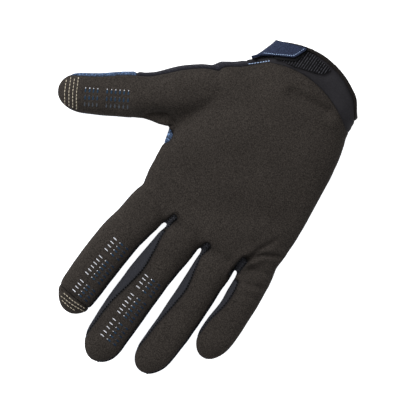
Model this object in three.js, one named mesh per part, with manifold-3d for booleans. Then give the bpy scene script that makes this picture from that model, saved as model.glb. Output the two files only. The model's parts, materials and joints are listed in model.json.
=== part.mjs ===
// A full-finger cycling glove for the right hand, lying on its back with the palm up.
// It is sewn from separate panels: a suede palm that runs out over the fronts of all five fingers, a knit
// back, three fourchettes that line the finger gaps, a thumb back, a side panel, a fingertip cap, a cuff
// with its bound edge, and a wrist tab whose hook tape grips a ribbed loop pad.
// The frame is the hand's own: +Y runs from the wrist to the fingertips, +X to the thumb, +Z out of the
// palm, and the origin is the middle of the back of the hand, on the surface that it lies on.
import * as THREE from "three";
import { mergeVertices } from "three/addons/utils/BufferGeometryUtils.js";
import Module from "manifold-3d";

const wasm = await Module();
wasm.setup();

// Driving sizes, in millimetres.
const PANEL_WALL = 1.3;
const CUFF_WALL = 2.0;
const SEAM_GAP = 0.3;

// The hand: the body of the glove from the cuff's rim to the webs between the fingers.
const HAND = { length: 145, halfWidth: 49, depth: 28, wristY: -94, centreX: -9, webRound: 9, webSag: 3 };

// Each finger has a straight axis from a root inside the hand. Its root is up the hand by a share of the
// hand's length and out from its middle by a share of its half width. splay is its turn toward the thumb,
// in degrees. turn is how far the palm edge is pulled in on the thumb side, as a share of the half width,
// so that the fourchette shows there.
const FINGERS = {
  index: {
    up: 0.828, out: 0.622, length: 101.4, splay: 5.15,
    halfWidth: 12.7, depth: 17, curl: 8, bow: 3.3, turn: 0,
  },
  middle: {
    up: 0.841, out: 0.112, length: 114.6, splay: 2.25,
    halfWidth: 12.8, depth: 17.5, curl: 10, bow: 2.2, turn: 0.66,
  },
  ring: {
    up: 0.841, out: -0.357, length: 104, splay: -0.6,
    halfWidth: 11.8, depth: 16.5, curl: 8, bow: -1.4, turn: 0.5,
  },
  little: {
    up: 0.814, out: -0.816, length: 80.1, splay: -3.15,
    halfWidth: 11.1, depth: 15, curl: 6, bow: -1.4, turn: 0.45,
  },
};
const THUMB = {
  up: 0.407, out: 0.52, length: 109, splay: 59.1, halfWidth: 13.5, depth: 19, curl: 5, bow: 6, turn: 0.3,
};
const TIP_ROUND = 15;
const SUNK = 0.8;

// The seams: how high the palm panel and the back panel reach up a finger's side, as shares of its depth.
const PALM_SEAM = 0.48;
const BACK_SEAM = 0.2;
const PAST_SIDE = 1.08;
// Where the thumb back starts, as a share of the thumb's axis, and how far the cuts round the thumb and
// round the index fingertip reach to the side, as shares of the half width.
const THUMB_SEAM = 0.57;
const THUMB_REACH = 1.8;
const CAP_REACH = 1.15;
// Where the fourchettes start, as a share of the fingers' axes, and where the side strip starts, as a share
// of the hand's half width.
const GAP_START = 0.1;
const STRIP_START = 0.35;

// The wrist: the palm's edge and the cuff's rim are both arcs across the wrist.
// shift and span are shares of the hand's half width, and up is a share of its length.
const WRIST = { shift: -0.01, span: 0.755, up: 0.252, sag: 12.5 };
const RIM = { shift: -0.03, span: 0.755, up: 0.152, sag: 14 };
const BINDING = { width: 2, grow: 0.4 };

// The index finger's last stretch is a cap of its own, wrapped over the tip.
const CAP = { length: 10, grow: 0.4 };

// The wrist closure: a tab with hook tape under it, and the ribbed pad that it grips.
const LAYER_GAP = 0.35;
const TAB = { up: 0.176, out: 1.9, length: 25, width: 10, slant: 25.5, wall: 1.4, height: 3.5 };
const HOOK = { wall: 0.8, margin: 0.8, start: 0.42 };
const PAD = { wall: 1.2, width: 11, length: 40, ribPitch: 1.7, grooveWidth: 0.7, ribDepth: 0.5 };

// Tables. Every length in them is a share of the named size that it follows.
// The hand's sections, from the rim to the webs. shift and width are shares of halfWidth, and the edges are
// how far out the palm panel reaches, as shares of the section's own half width.
const HAND_SECTIONS = [
  { at: 0.0, shift: -0.1, width: 0.61, depth: 0.96, thumbEdge: 0.88, littleEdge: 1.08 },
  { at: 0.12, shift: -0.1, width: 0.63, depth: 0.97, thumbEdge: 0.88, littleEdge: 1.08 },
  { at: 0.22, shift: -0.08, width: 0.7, depth: 0.98, thumbEdge: 0.88, littleEdge: 1.08 },
  { at: 0.28, shift: 0.01, width: 0.84, depth: 0.99, thumbEdge: 0.88, littleEdge: 1.08 },
  { at: 0.36, shift: 0.04, width: 0.92, depth: 1.0, thumbEdge: 0.9, littleEdge: 1.08 },
  { at: 0.46, shift: 0.055, width: 1.02, depth: 0.97, thumbEdge: 0.95, littleEdge: 1.08 },
  { at: 0.6, shift: 0.04, width: 1.035, depth: 0.9, thumbEdge: 1.08, littleEdge: 1.08 },
  { at: 0.74, shift: -0.022, width: 1.005, depth: 0.8, thumbEdge: 1.08, littleEdge: 1.08 },
  { at: 0.88, shift: -0.035, width: 0.998, depth: 0.7, thumbEdge: 1.08, littleEdge: 1.08 },
  { at: 1.0, shift: -0.06, width: 0.93, depth: 0.63, thumbEdge: 1.08, littleEdge: 1.08 },
];

// A finger's sections, from root to tip. bow and lift are shares of the finger's bow and curl. open is how
// much of the turn the palm edge takes, and back how far the back panel's seam climbs to meet the palm's.
const FINGER_SECTIONS = [
  { at: 0.0, bow: -0.6, width: 0.8, depth: 0.86, lift: 0.08, open: 0.1, back: 0 },
  { at: 0.24, bow: 0.3, width: 0.98, depth: 1.0, lift: 0.06, open: 0.35, back: 0 },
  { at: 0.34, bow: 0.65, width: 0.97, depth: 0.98, lift: 0.12, open: 0.7, back: 0 },
  { at: 0.45, bow: 1.0, width: 0.98, depth: 0.96, lift: 0.22, open: 1.0, back: 0 },
  { at: 0.56, bow: 0.95, width: 1.0, depth: 0.94, lift: 0.36, open: 0.85, back: 0.1 },
  { at: 0.7, bow: 0.8, width: 0.99, depth: 0.9, lift: 0.58, open: 0.5, back: 0.4 },
  { at: 0.85, bow: 0.45, width: 0.96, depth: 0.84, lift: 0.82, open: 0.35, back: 0.8 },
  { at: 1.0, bow: 0.0, width: 0.92, depth: 0.76, lift: 1.0, open: 0.2, back: 1.0 },
];
const THUMB_SECTIONS = [
  { at: 0.0, bow: 0.77, width: 0.95, depth: 1.2, lift: 0.05, open: 0.9, back: 1 },
  { at: 0.18, bow: 0.85, width: 1.31, depth: 1.3, lift: 0.05, open: 0.8, back: 1 },
  { at: 0.32, bow: 0.33, width: 1.39, depth: 1.26, lift: 0.15, open: 0.8, back: 1 },
  { at: 0.41, bow: -0.02, width: 1.25, depth: 1.15, lift: 0.25, open: 0.8, back: 1 },
  { at: 0.5, bow: 0, width: 1.04, depth: 1.06, lift: 0.38, open: 0.8, back: 1 },
  { at: 0.62, bow: 0, width: 1.03, depth: 1.0, lift: 0.55, open: 0.8, back: 1 },
  { at: 0.78, bow: -0.17, width: 0.94, depth: 0.92, lift: 0.8, open: 0.8, back: 1 },
  { at: 1.0, bow: -0.1, width: 0.86, depth: 0.8, lift: 1.0, open: 0.7, back: 1 },
];

// The outlines of the tab and of the pad. along runs from the cuff's side to the free end, as a share of the
// piece's length, and across toward the hand, as a share of its width.
const TAB_OUTLINE = [
  { along: -0.35, across: -0.75 },
  { along: 0.21, across: -0.69 },
  { along: 0.98, across: -0.52 },
  { along: 1.02, across: -0.43 },
  { along: 0.79, across: 0.1 },
  { along: 0.73, across: 0.18 },
  { along: 0.26, across: 0.24 },
  { along: -0.05, across: 0.34 },
  { along: -0.35, across: 0.63 },
];
const PAD_OUTLINE = [
  { along: 0.12, across: -0.4 },
  { along: 0.68, across: -0.36 },
  { along: 1.01, across: 0.4 },
  { along: 1.03, across: 0.5 },
  { along: 0.94, across: 0.77 },
  { along: 0.89, across: 0.8 },
  { along: 0.45, across: 0.6 },
  { along: 0.12, across: 0.25 },
];

// How fine the faces are.
const FINGER_SIDES = 14;
const THUMB_SIDES = 14;
const HAND_SIDES = 26;
const FINGER_STEPS = 6;
const HAND_STEPS = 9;
const ROUND_STEPS = 3;
const TIP_FLAT = 0.35;
const ARC_STEPS = 8;

// A squarer curve on the back, where the glove is flattened on the surface, and a rounder one on the palm.
const BACK_POWER = 2.9;
const PALM_POWER = 2.3;

// Room that the cutting solids have beyond the glove.
const BELOW = -20;
const ABOVE = 2 * HAND.depth;
const BEYOND = 12;
const PAST_TIP = 1.12;
const PAST_WEB = 1.02;

// A table's column at a place along it, on one smooth curve through the rows.
function sample(table, at, column) {
  const last = table.length - 1;
  let row = 0;
  while (row < last - 1 && at > table[row + 1].at) row += 1;
  const span = table[row + 1].at - table[row].at;
  const t = THREE.MathUtils.clamp((at - table[row].at) / span, 0, 1);
  const value = (i) => table[THREE.MathUtils.clamp(i, 0, last)][column];
  const [p, q, r, s] = [value(row - 1), value(row), value(row + 1), value(row + 2)];
  const slope = (r - q) / 2 + (q - p) / 2;
  const nextSlope = (s - r) / 2 + (r - q) / 2;
  const cubic = 2 * q - 2 * r + slope + nextSlope;
  const square = 3 * r - 3 * q - 2 * slope - nextSlope;
  return ((cubic * t + square) * t + slope) * t + q;
}

// A closed geometry with shared corners, as a solid that can be joined and cut.
function toSolid(geometry) {
  geometry.deleteAttribute("normal");
  geometry.deleteAttribute("uv");
  const merged = mergeVertices(geometry, 1e-5);
  const mesh = new wasm.Mesh({
    numProp: 3,
    vertProperties: new Float32Array(merged.attributes.position.array),
    triVerts: new Uint32Array(merged.index.array),
  });
  return new wasm.Manifold(mesh);
}

// A closed tube through rings that have the same number of corners, with a fan over each end.
function skin(rings) {
  const sides = rings[0].length;
  const corners = rings.flat();
  const faces = [];
  for (let i = 0; i < rings.length - 1; i += 1) {
    for (let k = 0; k < sides; k += 1) {
      const next = (k + 1) % sides;
      const [a, b] = [i * sides + k, i * sides + next];
      const [c, d] = [a + sides, b + sides];
      faces.push(a, c, d, a, d, b);
    }
  }
  for (const end of [0, rings.length - 1]) {
    const middle = new THREE.Vector3();
    for (const corner of rings[end]) middle.addScaledVector(corner, 1 / sides);
    corners.push(middle);
    for (let k = 0; k < sides; k += 1) {
      const a = end * sides + k;
      const b = end * sides + ((k + 1) % sides);
      faces.push(corners.length - 1, end === 0 ? a : b, end === 0 ? b : a);
    }
  }
  const geometry = new THREE.BufferGeometry().setFromPoints(corners);
  geometry.setIndex(faces);
  return toSolid(geometry);
}

// An upright solid over an outline on the ground.
function prism(outline, low = BELOW, high = ABOVE) {
  const shape = new THREE.Shape(outline.map(([x, y]) => new THREE.Vector2(x, y)));
  const geometry = new THREE.ExtrudeGeometry(shape, { depth: high - low, bevelEnabled: false });
  geometry.translate(0, 0, low);
  return toSolid(geometry);
}

function unite(solids) {
  return solids.reduce((sum, next) => sum.add(next));
}

// The largest body of a cut, without the slivers that two cutting faces can leave.
function mainBody(solid) {
  return solid.decompose().reduce((most, next) => (next.volume() > most.volume() ? next : most));
}

// A place on the ground, out from the hand's middle and up from its rim.
function handSpot(up, out) {
  return new THREE.Vector2(HAND.centreX + out * HAND.halfWidth, HAND.wristY + up * HAND.length);
}

// A place along a finger's axis, with the direction across the finger on the ground.
function fingerPlace(finger, table, at) {
  const { length } = finger;
  const splay = THREE.MathUtils.degToRad(finger.splay);
  const along = new THREE.Vector2(Math.sin(splay), Math.cos(splay));
  const across = new THREE.Vector2(along.y, -along.x);
  const inTable = Math.min(at, 1);
  const spot = handSpot(finger.up, finger.out).addScaledVector(along, at * length);
  spot.addScaledVector(across, finger.bow * sample(table, inTable, "bow"));
  return {
    spot,
    across,
    length,
    halfWidth: finger.halfWidth * sample(table, inTable, "width"),
    depth: finger.depth * sample(table, inTable, "depth"),
    floor: finger.curl * sample(table, inTable, "lift") - SUNK,
    open: finger.turn * sample(table, inTable, "open"),
    back: sample(table, inTable, "back"),
  };
}

// One ring of the glove's skin. grow moves it outward, and inward where it is negative. close shrinks the
// ring toward its middle, to round a fingertip.
function ringOf(place, sides, grow, close = 1) {
  const ring = [];
  const growAt = typeof grow === "function" ? grow : () => grow;
  for (let k = 0; k < sides; k += 1) {
    const turn = (2 * Math.PI * k) / sides;
    const power = 2 / (turn > Math.PI ? BACK_POWER : PALM_POWER);
    const grown = growAt(turn);
    const wide = Math.sign(Math.cos(turn)) * Math.abs(Math.cos(turn)) ** power;
    const high = Math.sign(Math.sin(turn)) * Math.abs(Math.sin(turn)) ** power;
    const u = wide * (place.halfWidth + grown) * close;
    const z = place.floor + place.depth / 2 + high * (place.depth / 2 + grown) * close;
    const drop = place.sag ? place.sag * (u / place.halfWidth) ** 2 : 0;
    ring.push(new THREE.Vector3(
      place.spot.x + u * place.across.x,
      place.spot.y + u * place.across.y - drop,
      z,
    ));
  }
  return ring;
}

// A finger or the thumb, closed over its tip.
function fingerSolid(finger, table, sides, grow) {
  const { length } = fingerPlace(finger, table, 0);
  const straight = 1 - TIP_ROUND / length;
  const rings = [];
  for (let i = 0; i <= FINGER_STEPS; i += 1) {
    rings.push(ringOf(fingerPlace(finger, table, (straight * i) / FINGER_STEPS), sides, grow));
  }
  for (let i = 1; i <= ROUND_STEPS; i += 1) {
    const angle = (i / (ROUND_STEPS + TIP_FLAT)) * (Math.PI / 2);
    const reach = (TIP_ROUND + grow) * Math.sin(angle);
    const place = fingerPlace(finger, table, straight + reach / length);
    rings.push(ringOf(place, sides, grow, Math.cos(angle)));
  }
  return skin(rings);
}

// A place along the hand, from the rim to the webs.
function handPlace(at) {
  const inTable = THREE.MathUtils.clamp(at, 0, 1);
  const shift = HAND.halfWidth * sample(HAND_SECTIONS, inTable, "shift");
  return {
    spot: new THREE.Vector2(HAND.centreX + shift, HAND.wristY + at * HAND.length),
    across: new THREE.Vector2(1, 0),
    halfWidth: HAND.halfWidth * sample(HAND_SECTIONS, inTable, "width"),
    depth: HAND.depth * sample(HAND_SECTIONS, inTable, "depth"),
    floor: -SUNK,
    sag: HAND.webSag * inTable ** 4,
    thumbEdge: sample(HAND_SECTIONS, inTable, "thumbEdge"),
    littleEdge: sample(HAND_SECTIONS, inTable, "littleEdge"),
  };
}

// The body of the hand, rounded down into the webs at its far end.
function handSolid(grow) {
  const straight = 1 - HAND.webRound / HAND.length;
  const rings = [];
  for (let i = 0; i <= HAND_STEPS; i += 1) {
    rings.push(ringOf(handPlace((straight * i) / HAND_STEPS), HAND_SIDES, grow));
  }
  const grown = typeof grow === "function" ? 0 : grow;
  for (let i = 1; i < ROUND_STEPS; i += 1) {
    const angle = (i / ROUND_STEPS) * (Math.PI / 2);
    const place = handPlace(straight + ((HAND.webRound + grown) * Math.sin(angle)) / HAND.length);
    const middle = place.floor + place.depth / 2;
    const ring = ringOf(place, HAND_SIDES, grow);
    for (const corner of ring) corner.z = middle + (corner.z - middle) * Math.cos(angle);
    rings.push(ring);
  }
  return skin(rings);
}

// The whole glove's form, moved outward or inward, and flattened where it rests.
function gloveForm(grow) {
  const fingers = Object.values(FINGERS).map((f) => fingerSolid(f, FINGER_SECTIONS, FINGER_SIDES, grow));
  const thumb = fingerSolid(THUMB, THUMB_SECTIONS, THUMB_SIDES, grow);
  return unite([handSolid(grow), thumb, ...fingers]).trimByPlane([0, 0, 1], -grow > 0 ? -grow : 0);
}

// The ground outline on the fingers' side of an arc across the wrist, moved by a distance toward them.
function beyondArc(arc, moved) {
  const middle = handSpot(arc.up, arc.shift);
  const halfSpan = arc.span * HAND.halfWidth;
  const side = middle.y + moved;
  const outline = [];
  for (let i = -ARC_STEPS; i <= ARC_STEPS; i += 1) {
    const share = i / ARC_STEPS;
    outline.push([middle.x + share * halfSpan, side - arc.sag * (1 - share * share)]);
  }
  const far = 2 * HAND.length;
  return [[-far, side], ...outline, [far, side], [far, far], [-far, far]];
}

// The space over a finger where the palm panel is the outer wall.
function palmSpaceOf(finger, table, grow) {
  const rings = [];
  for (let i = 0; i <= FINGER_STEPS + 1; i += 1) {
    const at = i <= FINGER_STEPS ? i / FINGER_STEPS : PAST_TIP;
    const place = fingerPlace(finger, table, at);
    const seam = place.floor + place.depth * PALM_SEAM - grow;
    const left = -PAST_SIDE * place.halfWidth - grow;
    const right = (PAST_SIDE - place.open) * place.halfWidth + grow;
    rings.push(boxRing(place, left, right, seam, ABOVE));
  }
  return skin(rings);
}

// The space under a finger where the back panel is the outer wall.
function backSpaceOf(finger, table, grow) {
  const rings = [];
  for (let i = 0; i <= FINGER_STEPS + 1; i += 1) {
    const at = i <= FINGER_STEPS ? i / FINGER_STEPS : PAST_TIP;
    const place = fingerPlace(finger, table, at);
    const share = THREE.MathUtils.lerp(BACK_SEAM, PALM_SEAM, THREE.MathUtils.clamp(place.back, 0, 1));
    const seam = place.floor + place.depth * share + grow;
    const side = PAST_SIDE * place.halfWidth;
    rings.push(boxRing(place, -side, side, BELOW, seam));
  }
  return skin(rings);
}

// Four corners around a box section, in the order that skin needs.
function boxRing(place, left, right, low, high) {
  const corner = (u, z) => new THREE.Vector3(
    place.spot.x + u * place.across.x,
    place.spot.y + u * place.across.y,
    z,
  );
  return [corner(right, low), corner(right, high), corner(left, high), corner(left, low)];
}

// The same two spaces along the hand.
function handSpace(grow, palm) {
  const rings = [];
  for (let i = 0; i <= HAND_STEPS; i += 1) {
    const place = handPlace((i / HAND_STEPS) * PAST_WEB);
    const share = palm ? PALM_SEAM : BACK_SEAM;
    const seam = place.floor + place.depth * share + (palm ? -grow : grow);
    const left = -place.littleEdge * place.halfWidth - grow;
    const right = place.thumbEdge * place.halfWidth + grow;
    const wide = PAST_SIDE * place.halfWidth + grow;
    rings.push(palm ? boxRing(place, left, right, seam, ABOVE) : boxRing(place, -wide, wide, BELOW, seam));
  }
  return skin(rings);
}

function palmSpace(grow) {
  const fingers = Object.values(FINGERS).map((f) => palmSpaceOf(f, FINGER_SECTIONS, grow));
  return unite([handSpace(grow, true), palmSpaceOf(THUMB, THUMB_SECTIONS, grow), ...fingers]);
}

function backSpace(grow) {
  const fingers = Object.values(FINGERS).map((f) => backSpaceOf(f, FINGER_SECTIONS, grow));
  return unite([handSpace(grow, false), ...fingers]);
}

// The ground between two neighbouring fingers' axes, from inside the web to past the tips.
function gapGround(first, second, moved) {
  const point = (finger, at, side) => {
    const { spot, across } = fingerPlace(finger, FINGER_SECTIONS, at);
    return [spot.x + across.x * side, spot.y + across.y * side];
  };
  const stops = [GAP_START, 0.6, PAST_TIP];
  return prism([
    ...stops.map((at) => point(first, at, moved)),
    ...stops.toReversed().map((at) => point(second, at, -moved)),
  ]);
}

// The ground over a stretch of a finger, as wide as a share of its half width, grown on all sides.
function stretchGround(finger, table, from, wide, grow) {
  const { spot, across, length } = fingerPlace(finger, table, from);
  const along = new THREE.Vector2(-across.y, across.x);
  const far = length * (1 - from) + BEYOND;
  const side = finger.halfWidth * wide + grow;
  const corner = (distance, offset) => [
    spot.x + along.x * distance + across.x * offset,
    spot.y + along.y * distance + across.y * offset,
  ];
  return prism([corner(-grow, -side), corner(far, -side), corner(far, side), corner(-grow, side)]);
}

// The ground of the thumb back, and that of the index finger's cap.
function thumbGround(grow) {
  return stretchGround(THUMB, THUMB_SECTIONS, THUMB_SEAM, THUMB_REACH, grow);
}

function capGround(grow) {
  const { length } = fingerPlace(FINGERS.index, FINGER_SECTIONS, 1);
  return stretchGround(FINGERS.index, FINGER_SECTIONS, 1 - CAP.length / length, CAP_REACH, grow);
}

// The layers of the closure, outward from the cuff.
const padTop = LAYER_GAP + PAD.wall;
const hookTop = padTop + LAYER_GAP + HOOK.wall;
const tabBase = hookTop + LAYER_GAP;
const sideBase = BINDING.grow + LAYER_GAP;
const CLIMB = { start: 0.05, end: 0.45 };

// A layer over the cuff that lies low round the thumb side and climbs over the pad on the palm side.
function layer(low, high, wall) {
  const climb = (base) => (turn) => {
    const share = THREE.MathUtils.smoothstep(turn, CLIMB.start, CLIMB.end) * (turn < Math.PI ? 1 : 0);
    return low + (high - low) * share + base;
  };
  return handSolid(climb(wall)).subtract(handSolid(climb(0)));
}

// The tab's root at the cuff's thumb side, and the direction in which the tab runs to its free end.
const tabPlace = handPlace(TAB.up);
const tabRoot = new THREE.Vector2(tabPlace.spot.x + tabPlace.halfWidth + TAB.out, tabPlace.spot.y);
const tabSlant = THREE.MathUtils.degToRad(TAB.slant);
const tabAlong = new THREE.Vector2(-Math.cos(tabSlant), -Math.sin(tabSlant));
const tabAcross = new THREE.Vector2(-Math.sin(tabSlant), Math.cos(tabSlant));

// A closure piece's outline on the ground, grown by a margin round its free end.
function strapGround(outline, size, margin) {
  return prism(outline.map((corner) => {
    const far = corner.along * size.length + (corner.along > 0.5 ? margin : 0);
    const side = corner.across * size.width + Math.sign(corner.across) * margin;
    return [
      tabRoot.x + tabAlong.x * far + tabAcross.x * side,
      tabRoot.y + tabAlong.y * far + tabAcross.y * side,
    ];
  }));
}

// The ribbed pad: a layer with a row of grooves across it.
function padSolid() {
  const base = layer(LAYER_GAP, LAYER_GAP, PAD.wall).intersect(strapGround(PAD_OUTLINE, PAD, 0));
  const grooveFloor = padTop - PAD.ribDepth;
  const grooves = [];
  const first = tabRoot.x + tabAlong.x * PAD.length;
  const last = tabRoot.x + tabAlong.x * TAB.length + TAB.width / 2;
  for (let x = first; x < last; x += PAD.ribPitch) {
    const [low, high] = [tabRoot.y - PAD.length, tabRoot.y + PAD.length];
    const end = x + PAD.grooveWidth;
    grooves.push(prism([[x, low], [end, low], [end, high], [x, high]]));
  }
  const cut = layer(grooveFloor, grooveFloor, PAD.wall).intersect(unite(grooves));
  const clear = prism(beyondArc(RIM, BINDING.width + 2 * SEAM_GAP));
  return base.subtract(cut).intersect(clear).trimByPlane([0, 0, 1], HAND.depth / 2);
}

// Materials.
const suede = new THREE.MeshStandardMaterial({ color: 0x38342f, roughness: 0.95, metalness: 0 });
const knit = new THREE.MeshStandardMaterial({ color: 0x4a5f7c, roughness: 0.9, metalness: 0 });
const darkKnit = new THREE.MeshStandardMaterial({ color: 0x26262c, roughness: 0.9, metalness: 0 });
const stretch = new THREE.MeshStandardMaterial({ color: 0x2e3036, roughness: 0.85, metalness: 0 });
const cuffCloth = new THREE.MeshStandardMaterial({ color: 0x2b2a2d, roughness: 0.9, metalness: 0 });
const bindingCloth = new THREE.MeshStandardMaterial({ color: 0x1d1a19, roughness: 0.8, metalness: 0 });
const tabSkin = new THREE.MeshStandardMaterial({ color: 0x20283a, roughness: 0.6, metalness: 0 });
const tape = new THREE.MeshStandardMaterial({ color: 0x111113, roughness: 0.7, metalness: 0 });

// The walls that the panels are cut from.
const outer = gloveForm(0);
const handWall = outer.subtract(gloveForm(-PANEL_WALL));
const cuffWall = outer.subtract(gloveForm(-CUFF_WALL));
const handGround = prism(beyondArc(WRIST, SEAM_GAP / 2));
const pastBinding = prism(beyondArc(RIM, BINDING.width + SEAM_GAP));
const cuffGround = pastBinding.subtract(prism(beyondArc(WRIST, -SEAM_GAP / 2)));
const bindingGround = prism(beyondArc(RIM, 0)).subtract(prism(beyondArc(RIM, BINDING.width)));

const palmInside = palmSpace(0);
const palmAround = palmSpace(SEAM_GAP);
const backInside = backSpace(0);
const backAround = backSpace(SEAM_GAP);
const thumbInside = thumbGround(0);
const thumbAround = thumbGround(SEAM_GAP);
const capInside = capGround(0);
const capAround = capGround(SEAM_GAP);
const handCloth = handWall.intersect(handGround);

// The ground of the side strip: the thumb side of the hand, from the wrist to the thumb.
function sideGround(grow) {
  const inner = HAND.centreX + HAND.halfWidth * STRIP_START - grow;
  const outside = HAND.centreX + HAND.length;
  const { y } = fingerPlace(THUMB, THUMB_SECTIONS, THUMB_SEAM).spot;
  const top = y + THUMB.halfWidth;
  const strip = prism([[inner, HAND.wristY], [outside, HAND.wristY], [outside, top], [inner, top]]);
  return strip.subtract(thumbGround(SEAM_GAP - grow));
}

const pairs = [["index", "middle"], ["middle", "ring"], ["ring", "little"]];
const gapsInside = pairs.map(([a, b]) => gapGround(FINGERS[a], FINGERS[b], 0));
const gapsAround = pairs.map(([a, b]) => gapGround(FINGERS[a], FINGERS[b], -SEAM_GAP));

const glove = new THREE.Group();
glove.name = "cycling_glove";

// A named mesh of a finished solid.
function addPiece(name, solid, material) {
  const mesh = mainBody(solid).getMesh();
  const geometry = new THREE.BufferGeometry();
  geometry.setAttribute("position", new THREE.BufferAttribute(new Float32Array(mesh.vertProperties), 3));
  geometry.setIndex(new THREE.BufferAttribute(new Uint32Array(mesh.triVerts), 1));
  geometry.computeVertexNormals();
  const piece = new THREE.Mesh(geometry, material);
  piece.name = name;
  glove.add(piece);
}

addPiece("palm_panel", handCloth.intersect(palmInside).subtract(capAround), suede);

const sideSpace = sideGround(0).subtract(backSpace(SEAM_GAP));
addPiece("side_panel", handCloth.intersect(sideSpace).subtract(palmAround), darkKnit);
addPiece("thumb_back", handCloth.intersect(thumbInside).subtract(palmAround), knit);

const notBack = unite([
  palmAround,
  capAround,
  thumbAround,
  sideGround(SEAM_GAP).subtract(backInside),
  ...gapsAround.map((gap) => gap.subtract(backInside)),
]);
addPiece("back_panel", handCloth.subtract(notBack), knit);

pairs.forEach(([a, b], i) => {
  const strip = handCloth.intersect(gapsInside[i]).subtract(palmAround).subtract(backAround);
  addPiece(`fourchette_${a}_${b}`, strip.subtract(capAround), stretch);
});

const capOuter = fingerSolid(FINGERS.index, FINGER_SECTIONS, FINGER_SIDES, CAP.grow);
const capInner = fingerSolid(FINGERS.index, FINGER_SECTIONS, FINGER_SIDES, -PANEL_WALL);
addPiece("index_tip_cap", capOuter.subtract(capInner).intersect(capInside), suede);

addPiece("cuff", cuffWall.intersect(cuffGround), cuffCloth);
const bindingWall = handSolid(BINDING.grow).trimByPlane([0, 0, 1], 0).subtract(gloveForm(-CUFF_WALL));
addPiece("rim_binding", bindingWall.intersect(bindingGround), bindingCloth);

addPiece("loop_patch", padSolid(), tape);
const hookLayer = layer(padTop + LAYER_GAP, padTop + LAYER_GAP, HOOK.wall);
const hookStart = tabAlong.dot(tabRoot) + HOOK.start * TAB.length;
const hookGround = strapGround(TAB_OUTLINE, TAB, HOOK.margin);
const hookStrip = hookGround.trimByPlane([tabAlong.x, tabAlong.y, 0], hookStart);
addPiece("tab_hook", hookLayer.intersect(hookStrip).trimByPlane([0, 0, 1], HAND.depth / 2), tape);
const tabLayer = layer(sideBase, tabBase, TAB.wall);
const tabSolid = tabLayer.intersect(strapGround(TAB_OUTLINE, TAB, 0)).trimByPlane([0, 0, 1], TAB.height);
addPiece("closure_tab", tabSolid, tabSkin);

export default glove;
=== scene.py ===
"""A full-finger cycling glove for the right hand, lying palm up, dressed over its solids."""
import json
import math

import bmesh
import bpy
import numpy as np
from mathutils import Matrix, Vector, noise
from mathutils.bvhtree import BVHTree
from mathutils.kdtree import KDTree

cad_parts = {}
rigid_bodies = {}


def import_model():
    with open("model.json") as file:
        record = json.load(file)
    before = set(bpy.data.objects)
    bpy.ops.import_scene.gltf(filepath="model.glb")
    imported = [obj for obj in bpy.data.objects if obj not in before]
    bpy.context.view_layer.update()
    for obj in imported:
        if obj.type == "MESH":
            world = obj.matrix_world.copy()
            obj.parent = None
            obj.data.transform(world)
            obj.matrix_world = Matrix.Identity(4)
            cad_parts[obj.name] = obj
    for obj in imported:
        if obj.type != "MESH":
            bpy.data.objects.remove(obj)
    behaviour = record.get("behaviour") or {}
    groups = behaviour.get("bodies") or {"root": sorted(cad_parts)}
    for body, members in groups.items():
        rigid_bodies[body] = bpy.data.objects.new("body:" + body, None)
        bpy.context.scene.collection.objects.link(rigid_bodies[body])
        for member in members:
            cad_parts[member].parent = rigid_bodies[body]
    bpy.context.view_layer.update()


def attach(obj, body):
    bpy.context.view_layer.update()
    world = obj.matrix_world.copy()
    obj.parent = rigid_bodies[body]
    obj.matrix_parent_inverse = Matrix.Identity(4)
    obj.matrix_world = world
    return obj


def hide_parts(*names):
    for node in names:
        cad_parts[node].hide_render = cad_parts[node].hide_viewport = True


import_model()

bl_info = {
    "name": "Cycling glove",
    "version": (1, 0, 0),
    "blender": (4, 5, 0),
    "location": "3D View > Sidebar > Glove",
    "description": "Dresses a full-finger cycling glove in cloth, seams, grip print and a wrist closure",
    "category": "Object",
}

MM = 0.001
TAU = 2 * math.pi

# The form, in millimetres and degrees. Most of it is as in the part's source, and some is finer here.
HAND = {"length": 145, "half_width": 49, "depth": 28, "wrist_y": -94, "centre_x": -9, "web_round": 9,
        "web_sag": 3}
FINGERS = {
    "index": {"up": 0.828, "out": 0.622, "length": 101.4, "splay": 5.15, "half_width": 12.7, "depth": 17,
              "curl": 8, "bow": 3.3, "turn": 0.0},
    "middle": {"up": 0.841, "out": 0.112, "length": 114.6, "splay": 2.25, "half_width": 12.8, "depth": 17.5,
               "curl": 10, "bow": 2.2, "turn": 0.66},
    "ring": {"up": 0.841, "out": -0.357, "length": 104, "splay": -0.6, "half_width": 11.8, "depth": 16.5,
             "curl": 8, "bow": -1.4, "turn": 0.5},
    "little": {"up": 0.814, "out": -0.816, "length": 80.1, "splay": -3.15, "half_width": 11.1, "depth": 15,
               "curl": 6, "bow": -1.4, "turn": 0.45},
    "thumb": {"up": 0.407, "out": 0.52, "length": 109, "splay": 59.1, "half_width": 13.5, "depth": 19,
              "curl": 5, "bow": 6, "turn": 0.3},
}
# Where one side of a finger is drawn in: by how much, at which share of its length, over which share,
# and on which side.
NIPS = {
    "index": [(-1.7, 0.16, 0.09, 1)],
    "middle": [(0.5, 0.21, 0.07, -1), (0.5, 0.2, 0.07, 1)],
    "ring": [(0.7, 0.24, 0.07, 1), (-0.8, 0.24, 0.08, -1), (0.8, 0.7, 0.25, 1)],
    "little": [(1.7, 0.57, 0.12, 1), (1.2, 0.35, 0.09, 1)],
}
TIP_ROUND = 15
SUNK = 0.8
BACK_POWER = 2.9
PALM_POWER = 2.3

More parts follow.
